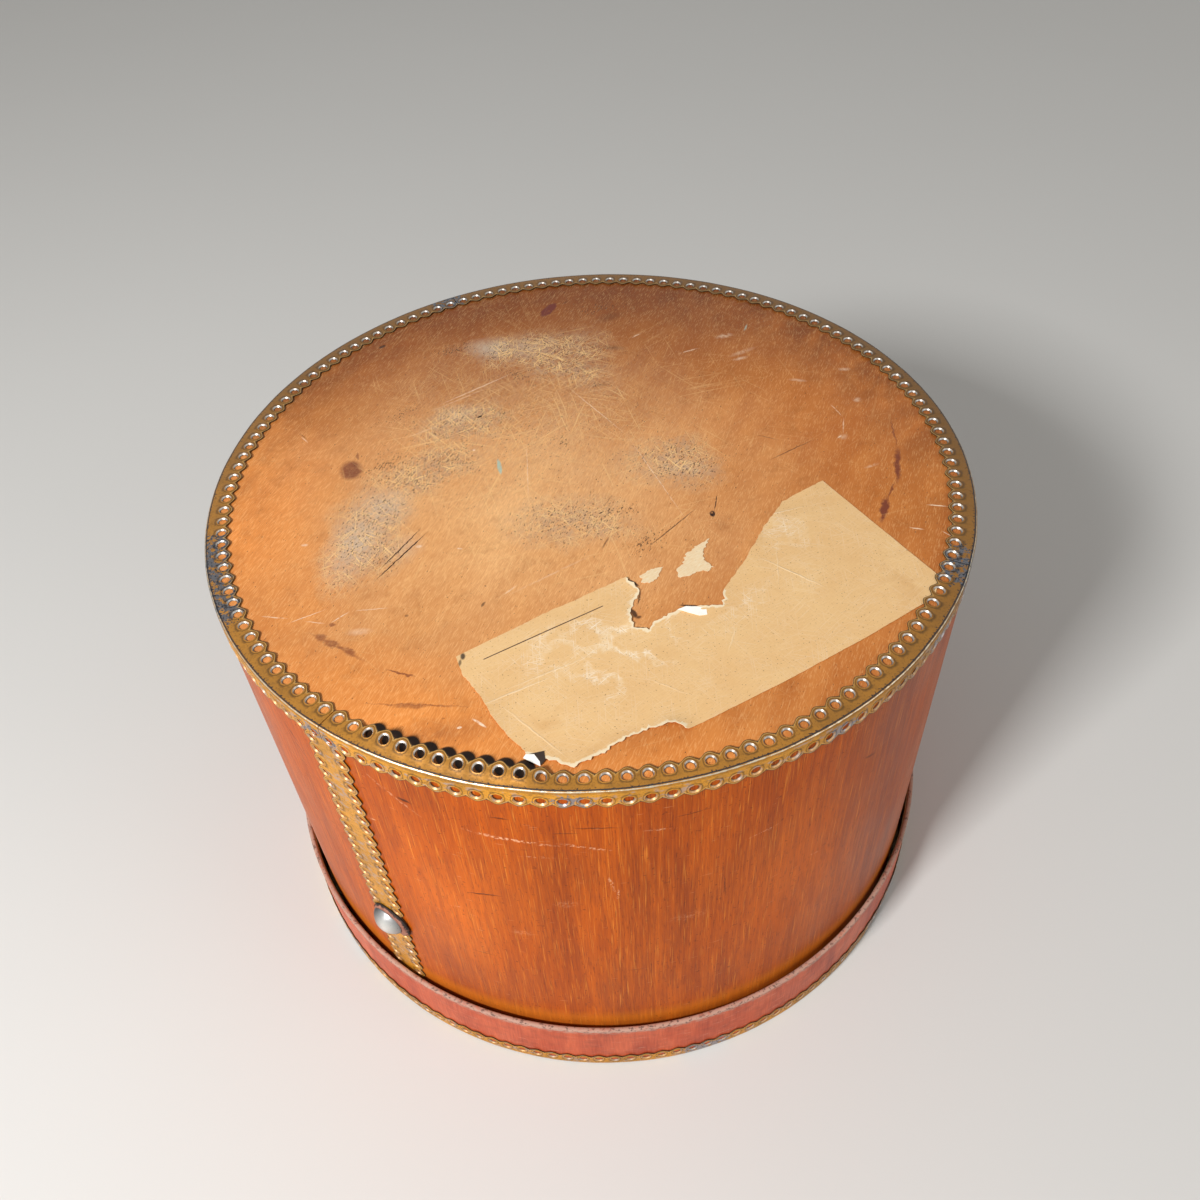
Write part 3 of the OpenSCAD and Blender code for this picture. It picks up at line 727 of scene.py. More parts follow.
def kraft_paper(look):
    """Kraft paper, aged and glued down: tan and matte, with creases, rubbed patches and pale torn edges."""
    material, place = blank_material("Kraft paper, aged")
    sheet = add(place.id_data, "ShaderNodeUVMap", uv_map="sheet").outputs[0]
    torn, flap = attribute(place, "torn"), attribute(place, "flap")
    fibre = grain(sheet, (3.0, 0.5, 1), (0.3, 0.7), 5, turn=8)
    cloud = grain(sheet, (34, 22, 1), (0.3, 0.72), 4)
    ribs = grain(sheet, (30, 0.9, 1), (0.35, 0.65), 1, turn=96)
    crisp = shaken(sheet, 5, 1.4)
    scuffed = marks(shaken(sheet, 20, 16), sheet_blots(
        (-39, 10, 38, 30, 20, 1, 1), (-60, 26, 28, 16, 0, 0.6, 1), (20, -2, 26, 12, 10, 0.35, 1),
        (66, 26, 22, 20, 0, 0.5, 1),
    ))
    strokes = scratches(sheet, (14, 62, 100, 135, 166), (22, 0.5), (0.68, 0.73))
    strokes = times(strokes, grain(sheet, (16, 16, 1), (0.3, 0.55)))
    rubbed = times(scuffed, grain(sheet, (2.4, 1.6, 1), (0.25, 0.58), 5, turn=30))
    scratched = times(strokes, levels(0.12, (scuffed, 0.9)))
    creases = marks(crisp, sheet_blots(
        (-89, 13, 21, 0.6, -5, 0.9, 1), (-71, 14, 26, 0.5, -6, 0.7, 1), (50, 4, 0.55, 20, 22, 0.9, 1),
        (47, 10, 0.45, 16, -35, 0.5, 1), (72, 38, 14, 0.5, -14, 0.8, 1), (-92, -10, 0.55, 22, 14, 0.6, 1),
        (4, -14, 10, 0.5, 40, 0.5, 1), (-34, -20, 0.5, 12, 30, 0.4, 1),
    ))
    line = times(
        marks(sheet, sheet_blots((-62, 35, 70, 0.34, -2, 1, 0.3))),
        marks(sheet, sheet_blots((-62, 34, 30, 30, 0, 1, 0.02))),
        grain(sheet, (5, 1, 1), (0.15, 0.4)),
    )
    dusk = marks(shaken(sheet, 25, 12), sheet_blots(
        (-70, -34, 30, 14, 0, 0.4, 1), (90, -30, 20, 26, 0, 0.45, 1), (60, 36, 40, 14, 0, 0.3, 1),
        (-84, -8, 12, 9, 20, 0.5, 1),
    ))
    specks = grain(sheet, (0.9, 0.9, 1), (0.68, 0.72), 1)
    smudge = marks(crisp, sheet_blots(
        (-98.5, 42.6, 1.4, 2.4, -30, 0.9, 0.5), (-101, 40, 2.4, 0.8, 60, 0.7, 0.5),
    ))
    shade = coats(look.paper, [
        (cloud, 0.5, "#f2cf98"),
        (fibre, 0.2, "#c08f56"),
        (dusk, 1, "#cb975a"),
        (rubbed, 0.6, "#f8e6c6"),
        (scratched, 0.95, "#fff4e2"),
        (creases, 0.6, "#f8e6c6"),
        (specks, 0.6, "#6e4a28"),
        (line, 1, look.ink),
        (ramp(levels(torn, (fibre, 0.2)), 0.55, 0.8), 1, look.core),
        (smudge, 1, "#23150c"),
        (ramp(flap, -0.4, -0.8), 1, "#2a190e"),
        (ramp(flap, 0.4, 0.8), 1, "#fffcf4"),
    ])
    gloss = levels(0.62, (cloud, 0.12), (fibre, 0.08))
    return surface(
        material, shade, gloss, (fibre, 0.03), (ribs, 0.012), (cloud, 0.15), (creases, 0.18),
        (rubbed, -0.05), (scratched, -0.05),
    )


def lining_paper():
    """Cream lining paper, aged: matte, faintly mottled and foxed."""
    material, place = blank_material("Lining paper, aged cream")
    cloud = grain(place, (40, 40, 60), (0.35, 0.7), 4)
    fibre = grain(place, (2, 2, 2), (0.3, 0.7), 4)
    foxing = grain(place, (5, 5, 5), (0.68, 0.76))
    shade = coats(colour("#dccfae"), [(cloud, 0.5, "#c8b48a"), (foxing, 0.6, "#a07a48")])
    gloss = levels(0.7, (fibre, 0.1))
    return surface(material, shade, gloss, (fibre, 0.02), (cloud, 0.2))


# Meshes

def mesh_object(name, points, faces, values=None, smooth=True):
    """New object from points in millimetres, with a value for each point under each attribute's name."""
    mesh = bpy.data.meshes.new(name)
    mesh.from_pydata([Vector(p) * MM for p in points], [], faces)
    for title, numbers in (values or {}).items():
        layer = mesh.attributes.new(title, "FLOAT", "POINT")
        layer.data.foreach_set("value", numbers)
    mesh.update()
    mesh.shade_smooth() if smooth else mesh.shade_flat()
    piece = bpy.data.objects.new(name, mesh)
    bpy.context.collection.objects.link(piece)
    return piece


def settled(piece):
    """Replaces a piece's mesh by its evaluated one and takes its modifiers off."""
    bpy.context.view_layer.update()
    graph = bpy.context.evaluated_depsgraph_get()
    mesh = bpy.data.meshes.new_from_object(piece.evaluated_get(graph), depsgraph=graph)
    piece.modifiers.clear()
    piece.data = mesh
    mesh.name = piece.name
    return piece


def seat(piece, material, body, slot, *replaced):
    """Gives a finished piece its material and body, and hides the CAD nodes that it stands for; its slot is not used.
    """
    if material is not None:
        piece.data.materials.clear()
        piece.data.materials.append(material)
    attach(piece, body)
    if replaced:
        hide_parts(*replaced)


def dress(material, *nodes):
    """Gives CAD solids that are shown as they are their material."""
    for title in nodes:
        NODES[title].data.materials.clear()
        NODES[title].data.materials.append(material)


def swept(name, profile, start, end, steps, move, values=None):
    """Closed profile of (radius, height), counterclockwise, swept round the axis and capped at both ends."""
    points, faces = [], []
    count = len(profile)
    for i in range(steps + 1):
        a = math.radians(start + (end - start) * i / steps)
        for r, z in profile:
            r, z = move(math.degrees(a), r, z)
            points.append((r * math.cos(a), r * math.sin(a), z))
    for i in range(steps):
        for k in range(count):
            n = (k + 1) % count
            faces.append((i * count + k, (i + 1) * count + k, (i + 1) * count + n, i * count + n))
    faces.append(tuple(range(count)))
    faces.append(tuple(reversed(range(steps * count, (steps + 1) * count))))
    layers = {title: list(numbers) * (steps + 1) for title, numbers in (values or {}).items()}
    piece = mesh_object(name, points, faces, layers)
    piece.data.set_sharp_from_angle(angle=math.radians(50))
    return piece


def turned(profile, steps, place, dent):
    """Points and faces of a profile of (radius, height) turned about its own axis and set in place."""
    points, faces, rings = [], [], []
    for r, h in profile:
        ring = []
        for i in range(1 if r == 0 else steps):
            a = 2 * math.pi * i / steps
            s, t = r * math.cos(a), r * math.sin(a)
            ring.append(len(points))
            points.append(place(s, t, h - dent(s, t, h)))
        rings.append(ring)
    for below, above in zip(rings, rings[1:]):
        for i in range(steps):
            n = (i + 1) % steps
            corners = [below[i % len(below)], below[n % len(below)], above[n % len(above)], above[i % len(above)]]
            faces.append(tuple(dict.fromkeys(corners)))
    return points, faces


def wall_place(angle, radius, z):
    """Turns (along the wall, up, outwards) into a place near a point of a round wall."""
    a = math.radians(angle)
    outward = Vector((math.cos(a), math.sin(a), 0))
    along = Vector((-math.sin(a), math.cos(a), 0))
    return lambda s, t, h: outward * (radius + h) + along * s + Vector((0, 0, z + t))


# Perforated edging

SCALLOP_STEPS = 8
# Rings round a punched hole: share of its radius, height over the metal and how much of a hollow it is
HOLE_RINGS = [(0.95, -0.7, 2.0), (1.3, 0.16, 1.0), (1.62, -0.02, 0.0)]


def cells_round(radius):
    """How many scallops go round a circle."""
    return round(2 * math.pi * radius / PITCH)


def scallop_cell(look, pitch, length):
    """One scallop of a leg and its hole: points as (along, across, height), faces and wear of each point."""
    centre = length - HOLE_INSET
    outline = [
        (-pitch / 2, 0, 0), (0, 0, 0), (pitch / 2, 0, 0), (pitch / 2, centre - pitch / 4, 0), (pitch / 2, centre, 0),
    ]
    for i in range(SCALLOP_STEPS + 1):
        u = pitch / 2 - pitch * i / SCALLOP_STEPS
        bump = (0.5 + 0.5 * math.cos(2 * math.pi * u / pitch)) ** 0.8
        outline.append((u, length - look.scallop_h * (1 - bump), -0.05))
    outline += [(-pitch / 2, centre, 0), (-pitch / 2, centre - pitch / 4, 0)]
    count = len(outline)
    points, wear = [], []
    for share, height, rim in HOLE_RINGS:
        for u, v, _ in outline:
            reach = math.hypot(u, v - centre)
            r = share * look.hole_d / 2
            points.append((u / reach * r, centre + (v - centre) / reach * r, height))
            wear.append({"rim": rim, "groove": 1.0 if rim == 0 else 0.0})
    for u, v, w in outline:
        points.append((u, v, w))
        wear.append({"fold": 0.8, "grime": 1.0} if v == 0 else {"edge": 1.0} if v > centre else {})
    faces = []
    for ring in range(len(HOLE_RINGS)):
        for i in range(count):
            n = (i + 1) % count
            a, b = ring * count, (ring + 1) * count
            faces.append((a + i, b + i, b + n, a + n))
    return points, faces, wear


class Shell:
    """Points, faces and wear of a sheet that is put together from parts."""

    def __init__(self):
        self.points, self.faces, self.wear = [], [], []

    def join(self, points, faces, wear, flip=False):
        base = len(self.points)
        self.points += points
        self.wear += wear
        for face in faces:
            corners = [base + i for i in face]
            self.faces.append(tuple(reversed(corners)) if flip else tuple(corners))

    def piece(self, name):
        layers = {
            title: [point.get(title, 0.0) for point in self.wear]
            for title in ("rim", "edge", "fold", "grime", "groove")
        }
        return mesh_object(name, self.points, self.faces, layers)


def edging_cell(look, radius, board_proud, wall_proud, lid):
    """One cell of edging at azimuth 0, board leg up at height 0, or down for the lid."""
    pitch = 2 * math.pi * radius / cells_round(radius)
    side = -1 if lid else 1
    shell = Shell()

    def bent(u, r, z):
        a = u / radius
        return r * math.cos(a), r * math.sin(a), side * z

    points, faces, wear = scallop_cell(look, pitch, BOARD_LEG - FOLD_R)
    shell.join([bent(u, radius - FOLD_R - v, board_proud + w) for u, v, w in points], faces, wear, flip=lid)
    points, faces, wear = scallop_cell(look, pitch, WALL_LEG - FOLD_R)
    wear = [{**point, "grime": 0.0} for point in wear]
    shell.join([bent(u, radius + wall_proud + w, -FOLD_R - v) for u, v, w in points], faces, wear, flip=not lid)
    arc, wear, strip = [], [], []
    for row, (fold, grime) in enumerate(((0.8, 1.0), (0.94, 1.5), (1.0, 0.0), (0.94, 0.0), (0.8, 0.0))):
        turn = math.pi / 2 * (1 - row / 4)
        r = radius - FOLD_R + (FOLD_R + wall_proud) * math.cos(turn)
        z = -FOLD_R + (FOLD_R + board_proud) * math.sin(turn)
        arc += [bent(u, r, z) for u in (-pitch / 2, 0, pitch / 2)]
        wear += [{"fold": fold, "grime": grime}] * 3
    for row in range(4):
        for col in range(2):
            a = row * 3 + col
            strip.append((a, a + 3, a + 4, a + 1))
    shell.join(arc, strip, wear, flip=lid)
    return shell.piece("edging cell")


def strip_cell(look, radius, pitch):
    """One cell of seam strip at azimuth 0, with a scallop and a hole at either side."""
    shell = Shell()
    points, faces, wear = scallop_cell(look, pitch, STRIP_W / 2)
    wear = [{**point, "fold": 0.0, "grime": 0.0} for point in wear]
    for side in (-1, 1):
        bent = []
        for u, v, w in points:
            a = side * v / radius
            bent.append(((radius + w) * math.cos(a), (radius + w) * math.sin(a), u + pitch / 2))
        shell.join(bent, faces, wear, flip=side == 1)
    return shell.piece("strip cell")


def repeat_tree():
    """Geometry nodes that repeat a cell, turned about the Z axis and raised a step each time."""
    tree = bpy.data.node_groups.new("Repeat round the axis", "GeometryNodeTree")
    for title, kind in (
        ("Cell", "NodeSocketObject"), ("Count", "NodeSocketInt"), ("First Turn", "NodeSocketFloat"),
        ("Turn", "NodeSocketFloat"), ("Rise", "NodeSocketFloat"), ("Material", "NodeSocketMaterial"),
    ):
        tree.interface.new_socket(title, in_out="INPUT", socket_type=kind)
    tree.interface.new_socket("Geometry", in_out="OUTPUT", socket_type="NodeSocketGeometry")
    given = add(tree, "NodeGroupInput").outputs
    dots = add(tree, "GeometryNodePoints", {"Count": given["Count"]})
    index = add(tree, "GeometryNodeInputIndex").outputs[0]
    turn = add(
        tree, "ShaderNodeMath", {0: index, 1: given["Turn"], 2: given["First Turn"]}, operation="MULTIPLY_ADD"
    )
    rise = add(tree, "ShaderNodeMath", {0: index, 1: given["Rise"]}, operation="MULTIPLY")
    spot = add(tree, "ShaderNodeCombineXYZ", {"Z": rise.outputs[0]})
    placed = add(tree, "GeometryNodeSetPosition", {"Geometry": dots.outputs[0], "Position": spot.outputs[0]})
    angles = add(tree, "ShaderNodeCombineXYZ", {"Z": turn.outputs[0]})
    rotation = add(tree, "FunctionNodeEulerToRotation", {0: angles.outputs[0]})
    cell = add(tree, "GeometryNodeObjectInfo", {"Object": given["Cell"]})
    copies = add(tree, "GeometryNodeInstanceOnPoints", {
        "Points": placed.outputs[0], "Instance": cell.outputs["Geometry"], "Rotation": rotation.outputs[0],
    })
    real = add(tree, "GeometryNodeRealizeInstances", {0: copies.outputs[0]})
    welded = add(tree, "GeometryNodeMergeByDistance", {"Geometry": real.outputs[0], "Distance": 0.02 * MM})
    dressed = add(tree, "GeometryNodeSetMaterial", {"Geometry": welded.outputs[0], "Material": given["Material"]})
    add(tree, "NodeGroupOutput", {0: dressed.outputs[0]})
    return tree


def repeated(name, cell, material, **inputs):
    """A piece made of copies of a cell, as a plain mesh."""
    tree = bpy.data.node_groups.get("Repeat round the axis") or repeat_tree()
    piece = bpy.data.objects.new(name, bpy.data.meshes.new(name))
    bpy.context.collection.objects.link(piece)
    modifier = piece.modifiers.new("Repeat", "NODES")
    modifier.node_group = tree
    inputs.update(Cell=cell, Material=material)
    for item in tree.interface.items_tree:
        if item.in_out == "INPUT":
            modifier[item.identifier] = inputs[item.name.replace(" ", "_")]
    return settled(piece)


def reshape(piece, move, **layers):
    """Moves each point of a piece by a function of its place in millimetres and sets point attributes."""
    mesh = piece.data
    filled = {title: mesh.attributes.new(title, "FLOAT", "POINT") for title in layers}
    for vertex in mesh.vertices:
        place = vertex.co / MM
        for title, rule in layers.items():
            filled[title].data[vertex.index].value = rule(place)
        vertex.co = move(place) * MM
    mesh.update()


def thicken(piece, thickness):
    """Gives a sheet its thickness, inwards."""
    solid = piece.modifiers.new("Sheet", "SOLIDIFY")
    solid.thickness = thickness * MM
    solid.offset = -1
    solid.use_even_offset = False
    settled(piece)
    piece.data.shade_smooth()
    piece.data.set_sharp_from_angle(angle=math.radians(60))


def waver(place, size, seed=0.0):
    """Smooth noise between -1 and 1 whose waves have a size in millimetres."""
    return noise.noise(Vector(place) / size + Vector((seed, seed * 0.7, seed * 1.3)))


def ease(value):
    """0 to 1 with soft ends, for a value from 0 to 1."""
    value = min(max(value, 0.0), 1.0)
    return value * value * (3 - 2 * value)


def turn_between(angle, start, end, soft):
    """1 between two directions, falling softly to 0 outside them."""
    middle, half = (start + end) / 2, (end - start) / 2
    off = abs((angle - middle + 180) % 360 - 180)
    return ease((half + soft - off) / soft)


# Stretches of the edging where its lacquer is gone, as directions: on the board, on the wall and on the lid
BARE_STRETCHES = [(-29, -24), (113, 116), (190, 206)]
SIDE_BARE_STRETCHES = [(-131, -127), (-95, -94), (-60, -58), (-40, -36)]
LID_BARE_STRETCHES = [(-150, -143), (-80, -74), (-40, -30), (60, 90)]
# The sprung stretch of the drum's edging
SPRUNG = (-120, -101)


def drum_edging_move(look, start, end):
    """How a point of the drum's edging moves from its plain place: tips stand off, one stretch is sprung."""
    trim = math.degrees(END_GAP / 2 / DRUM_R)

    def move(place):
        angle = math.degrees(math.atan2(place.y, place.x))
        r, z = math.hypot(place.x, place.y), place.z
        leg = min(max((DRUM_R - FOLD_R - r) / (BOARD_LEG - FOLD_R), 0), 1)
        side = min(max((TOP - FOLD_R - z) / (WALL_LEG - FOLD_R), 0), 1)
        spring = turn_between(angle, *SPRUNG, 5)
        lift = look.proud * (0.55 + 0.9 * waver(place, 26, 3)) + 0.25 * waver(place, 7, 8)
        z += max(lift, 0.0) * leg + spring * look.sprung * (0.12 + 0.88 * leg ** 0.8)
        r += (0.3 * max(waver(place, 20, 5), 0) + 0.5 * spring) * side + 0.18 * waver(place, 14, 9) * (1 - leg)
        # The leg on the board is narrower at the front and wider at the right
        narrow = 1.9 * turn_between(angle, -108, -72, 22) - 1.2 * turn_between(angle, -40, -15, 25)
        r += narrow * min(2 * leg, 1.0)
        turn = (angle - start) % 360
        span = end - start
        if turn > 359.9 or turn < 0.05:
            angle += trim
        elif abs(turn - span) < 0.05:
            angle -= trim
        a = math.radians(angle)
        return Vector((r * math.cos(a), r * math.sin(a), z))

    return move


def lid_edging_move(place):
    """Where a point of the lid's edging moves from its plain place."""
    r, z = math.hypot(place.x, place.y), place.z
    side = min(max((z - FOLD_R) / (WALL_LEG - FOLD_R), 0), 1)
    grow = 1 + (0.45 * max(waver(place, 18, 15), 0) * side + 0.12 * waver(place, 12, 4)) / r
    return Vector((place.x * grow, place.y * grow, z))


def bareness(stretches, side_stretches=()):
    """Attribute rule: 1 in some stretches of directions, and below the fold in some others."""
    def rule(place):
        angle = math.degrees(math.atan2(place.y, place.x))
        below = ease((TOP - 1 - place.z) / 1.5)
        return max(
            max(turn_between(angle, start, end, 4) for start, end in stretches),
            below * max((turn_between(angle, start, end, 4) for start, end in side_stretches), default=0.0),
        )

    return rule


# Label

# Outline of the label in parts of its half length and half width, and how each stretch ends: cut, torn or worn
LABEL_OUTLINE = [
    (-0.98, 0.98, "cut"), (-1.0, 0.75, "worn"), (-0.99, 0.45, "worn"), (-1.0, 0.15, "worn"), (-0.99, -0.12, "worn"),
    (-0.97, -0.38, "torn"), (-0.85, -0.74, "torn"), (-0.73, -0.76, "torn"), (-0.62, -0.73, "torn"),
    (-0.51, -0.76, "torn"), (-0.41, -0.84, "torn"), (-0.38, -0.96, "cut"), (0.07, -1.0, "cut"), (0.5, -1.0, "cut"),
    (0.9, -0.97, "cut"), (1.0, -0.79, "cut"), (0.99, 1.0, "worn"), (0.74, 0.97, "worn"), (0.57, 0.78, "worn"),
    (0.37, 0.49, "worn"), (0.17, 0.26, "torn"), (0.12, 0.1, "torn"), (-0.06, 0.29, "torn"), (-0.18, 0.29, "torn"),
    (-0.22, 0.24, "torn"), (-0.27, 0.34, "torn"), (-0.25, 0.47, "torn"), (-0.21, 0.6, "torn"),
    (-0.13, 0.73, "torn"), (-0.14, 0.96, "worn"), (-0.57, 0.99, "cut"),
]
RAGGED = {"cut": 0.12, "worn": 0.35, "torn": 0.8}
SCRAPS = [
    ((0.17, 0.78), [
        (0.2, 0.31), (0.11, 0.13), (0.11, 0), (0.2, -0.11), (0.13, -0.16), (0.04, -0.16),
        (-0.09, -0.22), (-0.18, -0.22), (-0.18, -0.11), (-0.11, -0.04), (-0.07, 0.09), (0.04, 0.2),
    ]),
    ((-0.04, 0.85), [
        (0.13, 0.11), (0.09, 0.02), (0.07, -0.04), (-0.02, -0.11), (-0.09, -0.09), (-0.11, 0),
        (-0.04, 0.04), (0.04, 0.09),
    ]),
]


def label_place():
    """Turns (along the label, towards the axis, height) into a place on the board."""
    room = DRUM_R - BOARD_LEG - LABEL_GAP
    corner = LABEL_CORNER[0] * LABEL_L / 2 - LABEL_SHIFT
    out = math.sqrt(room ** 2 - corner ** 2) - LABEL_CORNER[1] * LABEL_W / 2
    turn = math.radians(LABEL_ANGLE)
    c, s = math.cos(turn), math.sin(turn)

    def place(u, v, h):
        x, y = u - LABEL_SHIFT, v - out
        return Vector((x * c - y * s, x * s + y * c, BOARD_TOP + h))

    return place


def ragged_outline(corners, step, seed):
    """Outline through corners of (u, v, ending), cut into short steps and made as ragged as each ending is."""
    dice = random.Random(seed)
    points, endings = [], []
    for (u0, v0, ending), (u1, v1, _) in zip(corners, corners[1:] + corners[:1]):
        count = max(1, round(math.hypot(u1 - u0, v1 - v0) / step))
        side = Vector((v1 - v0, u0 - u1)).normalized()
        for i in range(count):
            share = i / count
            rough = RAGGED[ending] * (dice.uniform(-0.6, 0.6) + waver((u0 + share * 40, v0, seed), 7))
            points.append(Vector((u0 + (u1 - u0) * share, v0 + (v1 - v0) * share)) + side * rough)
            endings.append(ending)
    return points, endings


def paper_sheet(outline, step, seed):
    """Triangles that fill an outline, with inner points about a step apart."""
    dice = random.Random(seed)
    count = len(outline)
    us, vs = [p.x for p in outline], [p.y for p in outline]
    inner = []
    v = min(vs)
    while v < max(vs):
        u = min(us)
        while u < max(us):
            inner.append(Vector((u + dice.uniform(-0.3, 0.3) * step, v + dice.uniform(-0.3, 0.3) * step)))
            u += step
        v += step
    near = 0.6 * step
    inner = [p for p in inner if all((p - q).length > near for q in outline)]
    verts, _, faces, *_ = geometry.delaunay_2d_cdt(outline + inner, [], [list(range(count))], 1, 1e-4)
    return verts, faces


def paper_object(name, parts, thickness):
    """Paper from parts of (points as (u, v), faces, height rule, torn rule, flap), laid on the board."""
    place = label_place()
    points, faces, torn, flap, flat = [], [], [], [], []
    for verts, triangles, height, tear, is_flap in parts:
        base = len(points)
        for p in verts:
            points.append(place(p.x, p.y, height(p.x, p.y)))
            torn.append(tear(p.x, p.y))
            flap.append(is_flap)
            flat.append((p.x, p.y))
        for triangle in triangles:
            corners = [base + i for i in triangle]
            (x0, y0), (x1, y1), (x2, y2) = (flat[i] for i in corners)
            up = (x1 - x0) * (y2 - y0) - (x2 - x0) * (y1 - y0) > 0
            faces.append(tuple(corners if up else reversed(corners)))
    piece = mesh_object(name, points, faces, {"torn": torn, "flap": flap})
    layer = piece.data.uv_layers.new(name="sheet")
    for loop in piece.data.loops:
        layer.uv[loop.index].vector = Vector(flat[loop.vertex_index]) * MM
    thicken(piece, thickness)
    return piece


def distance_rule(outline, endings, kinds, reach):
    """1 on the outline's stretches of some endings, falling to 0 at a distance."""
    edge = [p for p, ending in zip(outline, endings) if ending in kinds]

    def rule(u, v):
        here = Vector((u, v))
        return max(0.0, 1.0 - min((here - p).length for p in edge) / reach)

    return rule


def label_sheets(look):
    """The label: a creased sheet with torn, curled edges, two flaps torn up from it and a dark patch beside the
    folded corner.
    """
    half_l, half_w = LABEL_L / 2, LABEL_W / 2
    corners = [(u * half_l, v * half_w, ending) for u, v, ending in LABEL_OUTLINE]
    outline, endings = ragged_outline(corners, 1.3, 11)
    verts, faces = paper_sheet(outline, 2.4, 5)
    torn = distance_rule(outline, endings, ("torn",), 1.2)
    loose = distance_rule(outline, endings, ("torn", "worn"), 9.0)

    def height(u, v):
        lower = ease((-20 - v) / 22) * ease((u + 100) / 30) * ease((-35 - u) / 20)
        edge = loose(u, v) ** 2 * max(0.0, 0.4 + waver((u, v, 0), 14, 2))
        return 0.3 + 0.12 * (1 + waver((u, v, 0), 24, 1)) + look.curl * (0.6 * edge + 0.5 * lower * edge)

    def low_flap(u, v):
        return 0.7 + 0.4 * waver((u, v, 0), 6, 3) + 0.12 * max(0.0, v - 4)

    def corner_flap(u, v):
        return height(u, v) + 0.35 + 0.7 * ease((u + 98) / 6)

    # The third outline is a near-black patch of paper beside the folded corner
    flap, fold, hole = ([Vector(p) for p in corners] for corners in (
        ((-6.4, 12.6), (-2.9, 8.4), (-0.1, 4.9), (3.1, 3.6), (4.7, 6.6), (1.9, 9.7), (-2.4, 12.2)),
        ((-102.3, -18.9), (-98.4, -26), (-97.6, -24), (-97.8, -19.8), (-100.6, -17.9)),
        ((-99.4, -18.5), (-97.7, -25.6), (-95.2, -24.4), (-93.6, -20.4)),
    ))
    return paper_object("label_sheet", [
        (verts, faces, height, torn, 0.0),
        (*paper_sheet(flap, 1.5, 3), low_flap, lambda u, v: 0.0, 1.0),
        (*paper_sheet(fold, 1.5, 4), corner_flap, lambda u, v: 0.0, 1.0),
        (*paper_sheet(hole, 1.5, 4), lambda u, v: height(u, v) + 0.25, lambda u, v: 0.0, -1.0),
    ], 0.22)


def label_scraps():
    """Two scraps of the label that stayed glued where the rest was torn off."""
    parts = []
    turn = math.radians(-LABEL_ANGLE)
    for (cu, cv), outline in SCRAPS:
        corners = []
        for x, y in outline:
            x, y = x * LABEL_W / 2, y * LABEL_W / 2
            u = cu * LABEL_L / 2 + x * math.cos(turn) - y * math.sin(turn)
            v = cv * LABEL_W / 2 + x * math.sin(turn) + y * math.cos(turn)
            corners.append((u, v, "torn"))
        ragged, _ = ragged_outline(corners, 1.0, 7)
        verts, faces = paper_sheet(ragged, 1.6, 9)
        # The scraps are split thin, so they are nearly as pale as the paper's inside all over
        parts.append((verts, faces, lambda u, v: 0.22 + 0.1 * (1 + waver((u, v, 0), 8, 6)), lambda u, v: 0.62, 0.0))
    return paper_object("label_scrap_pieces", parts, 0.16)


# Studs and washers

# Radius of the front washer's remnant by its direction: 0 along the wall to the right, 90 up
REMNANT = [
    (0, 13.2), (25, 13.7), (50, 13.2), (75, 12.7), (100, 12.2), (125, 11.3), (150, 10.6), (172, 10.2), (195, 8.0),
    (240, 7.6), (285, 7.8), (305, 9.0), (322, 12.8), (342, 13.6), (360, 13.2),
]
WHOLE = [(0, 13.3), (60, 13.5), (120, 12.9), (180, 13.4), (240, 13.0), (300, 13.5), (360, 13.3)]


def radius_at(table, angle):
    """Radius from a table of (direction, radius)."""
    for (a0, r0), (a1, r1) in zip(table, table[1:]):
        if a0 <= angle <= a1:
            return r0 + (r1 - r0) * (angle - a0) / (a1 - a0)
    raise ValueError(f"no radius for direction {angle}")


def washer(name, angle, seat_r, table, ragged, seed):
    """Leather washer that lies on the round wall, with a frayed outline."""
    dice = random.Random(seed)
    place = wall_place(angle, seat_r, STUD_Z)
    steps, inner, rings = 96, SHANK_D / 2 + 0.15, 9
    points, faces, edge = [], [], []
    for i in range(steps):
        theta = 360 * i / steps
        outer = radius_at(table, theta) + ragged * (dice.uniform(-0.5, 0.5) + waver((theta, 0, seed), 14))
        loop = []
        for k in range(rings):
            share = k / (rings - 1)
            loop.append((inner + (outer - inner) * share, 0.0, share))
        for k in range(rings - 1, -1, -1):
            share = k / (rings - 1)
            thick = WASHER_T * (1 - 0.55 * ease((share - 0.86) / 0.14)) + 0.12 * waver((theta, share * 9, seed), 8)
            loop.append((inner + (outer - inner) * share, min(thick, WASHER_T), share))
        for r, h, share in loop:
            s, t = r * math.cos(math.radians(theta)), r * math.sin(math.radians(theta))
            sag = s * s / (2 * seat_r)
            points.append(place(s, t, h - sag))
            edge.append(ease((share - 0.75) / 0.25))
    count = 2 * rings
    for i in range(steps):
        n = (i + 1) % steps
        for k in range(count):
            m = (k + 1) % count
            faces.append((i * count + k, n * count + k, n * count + m, i * count + m))
    return mesh_object(name, points, faces, {"edge": edge})


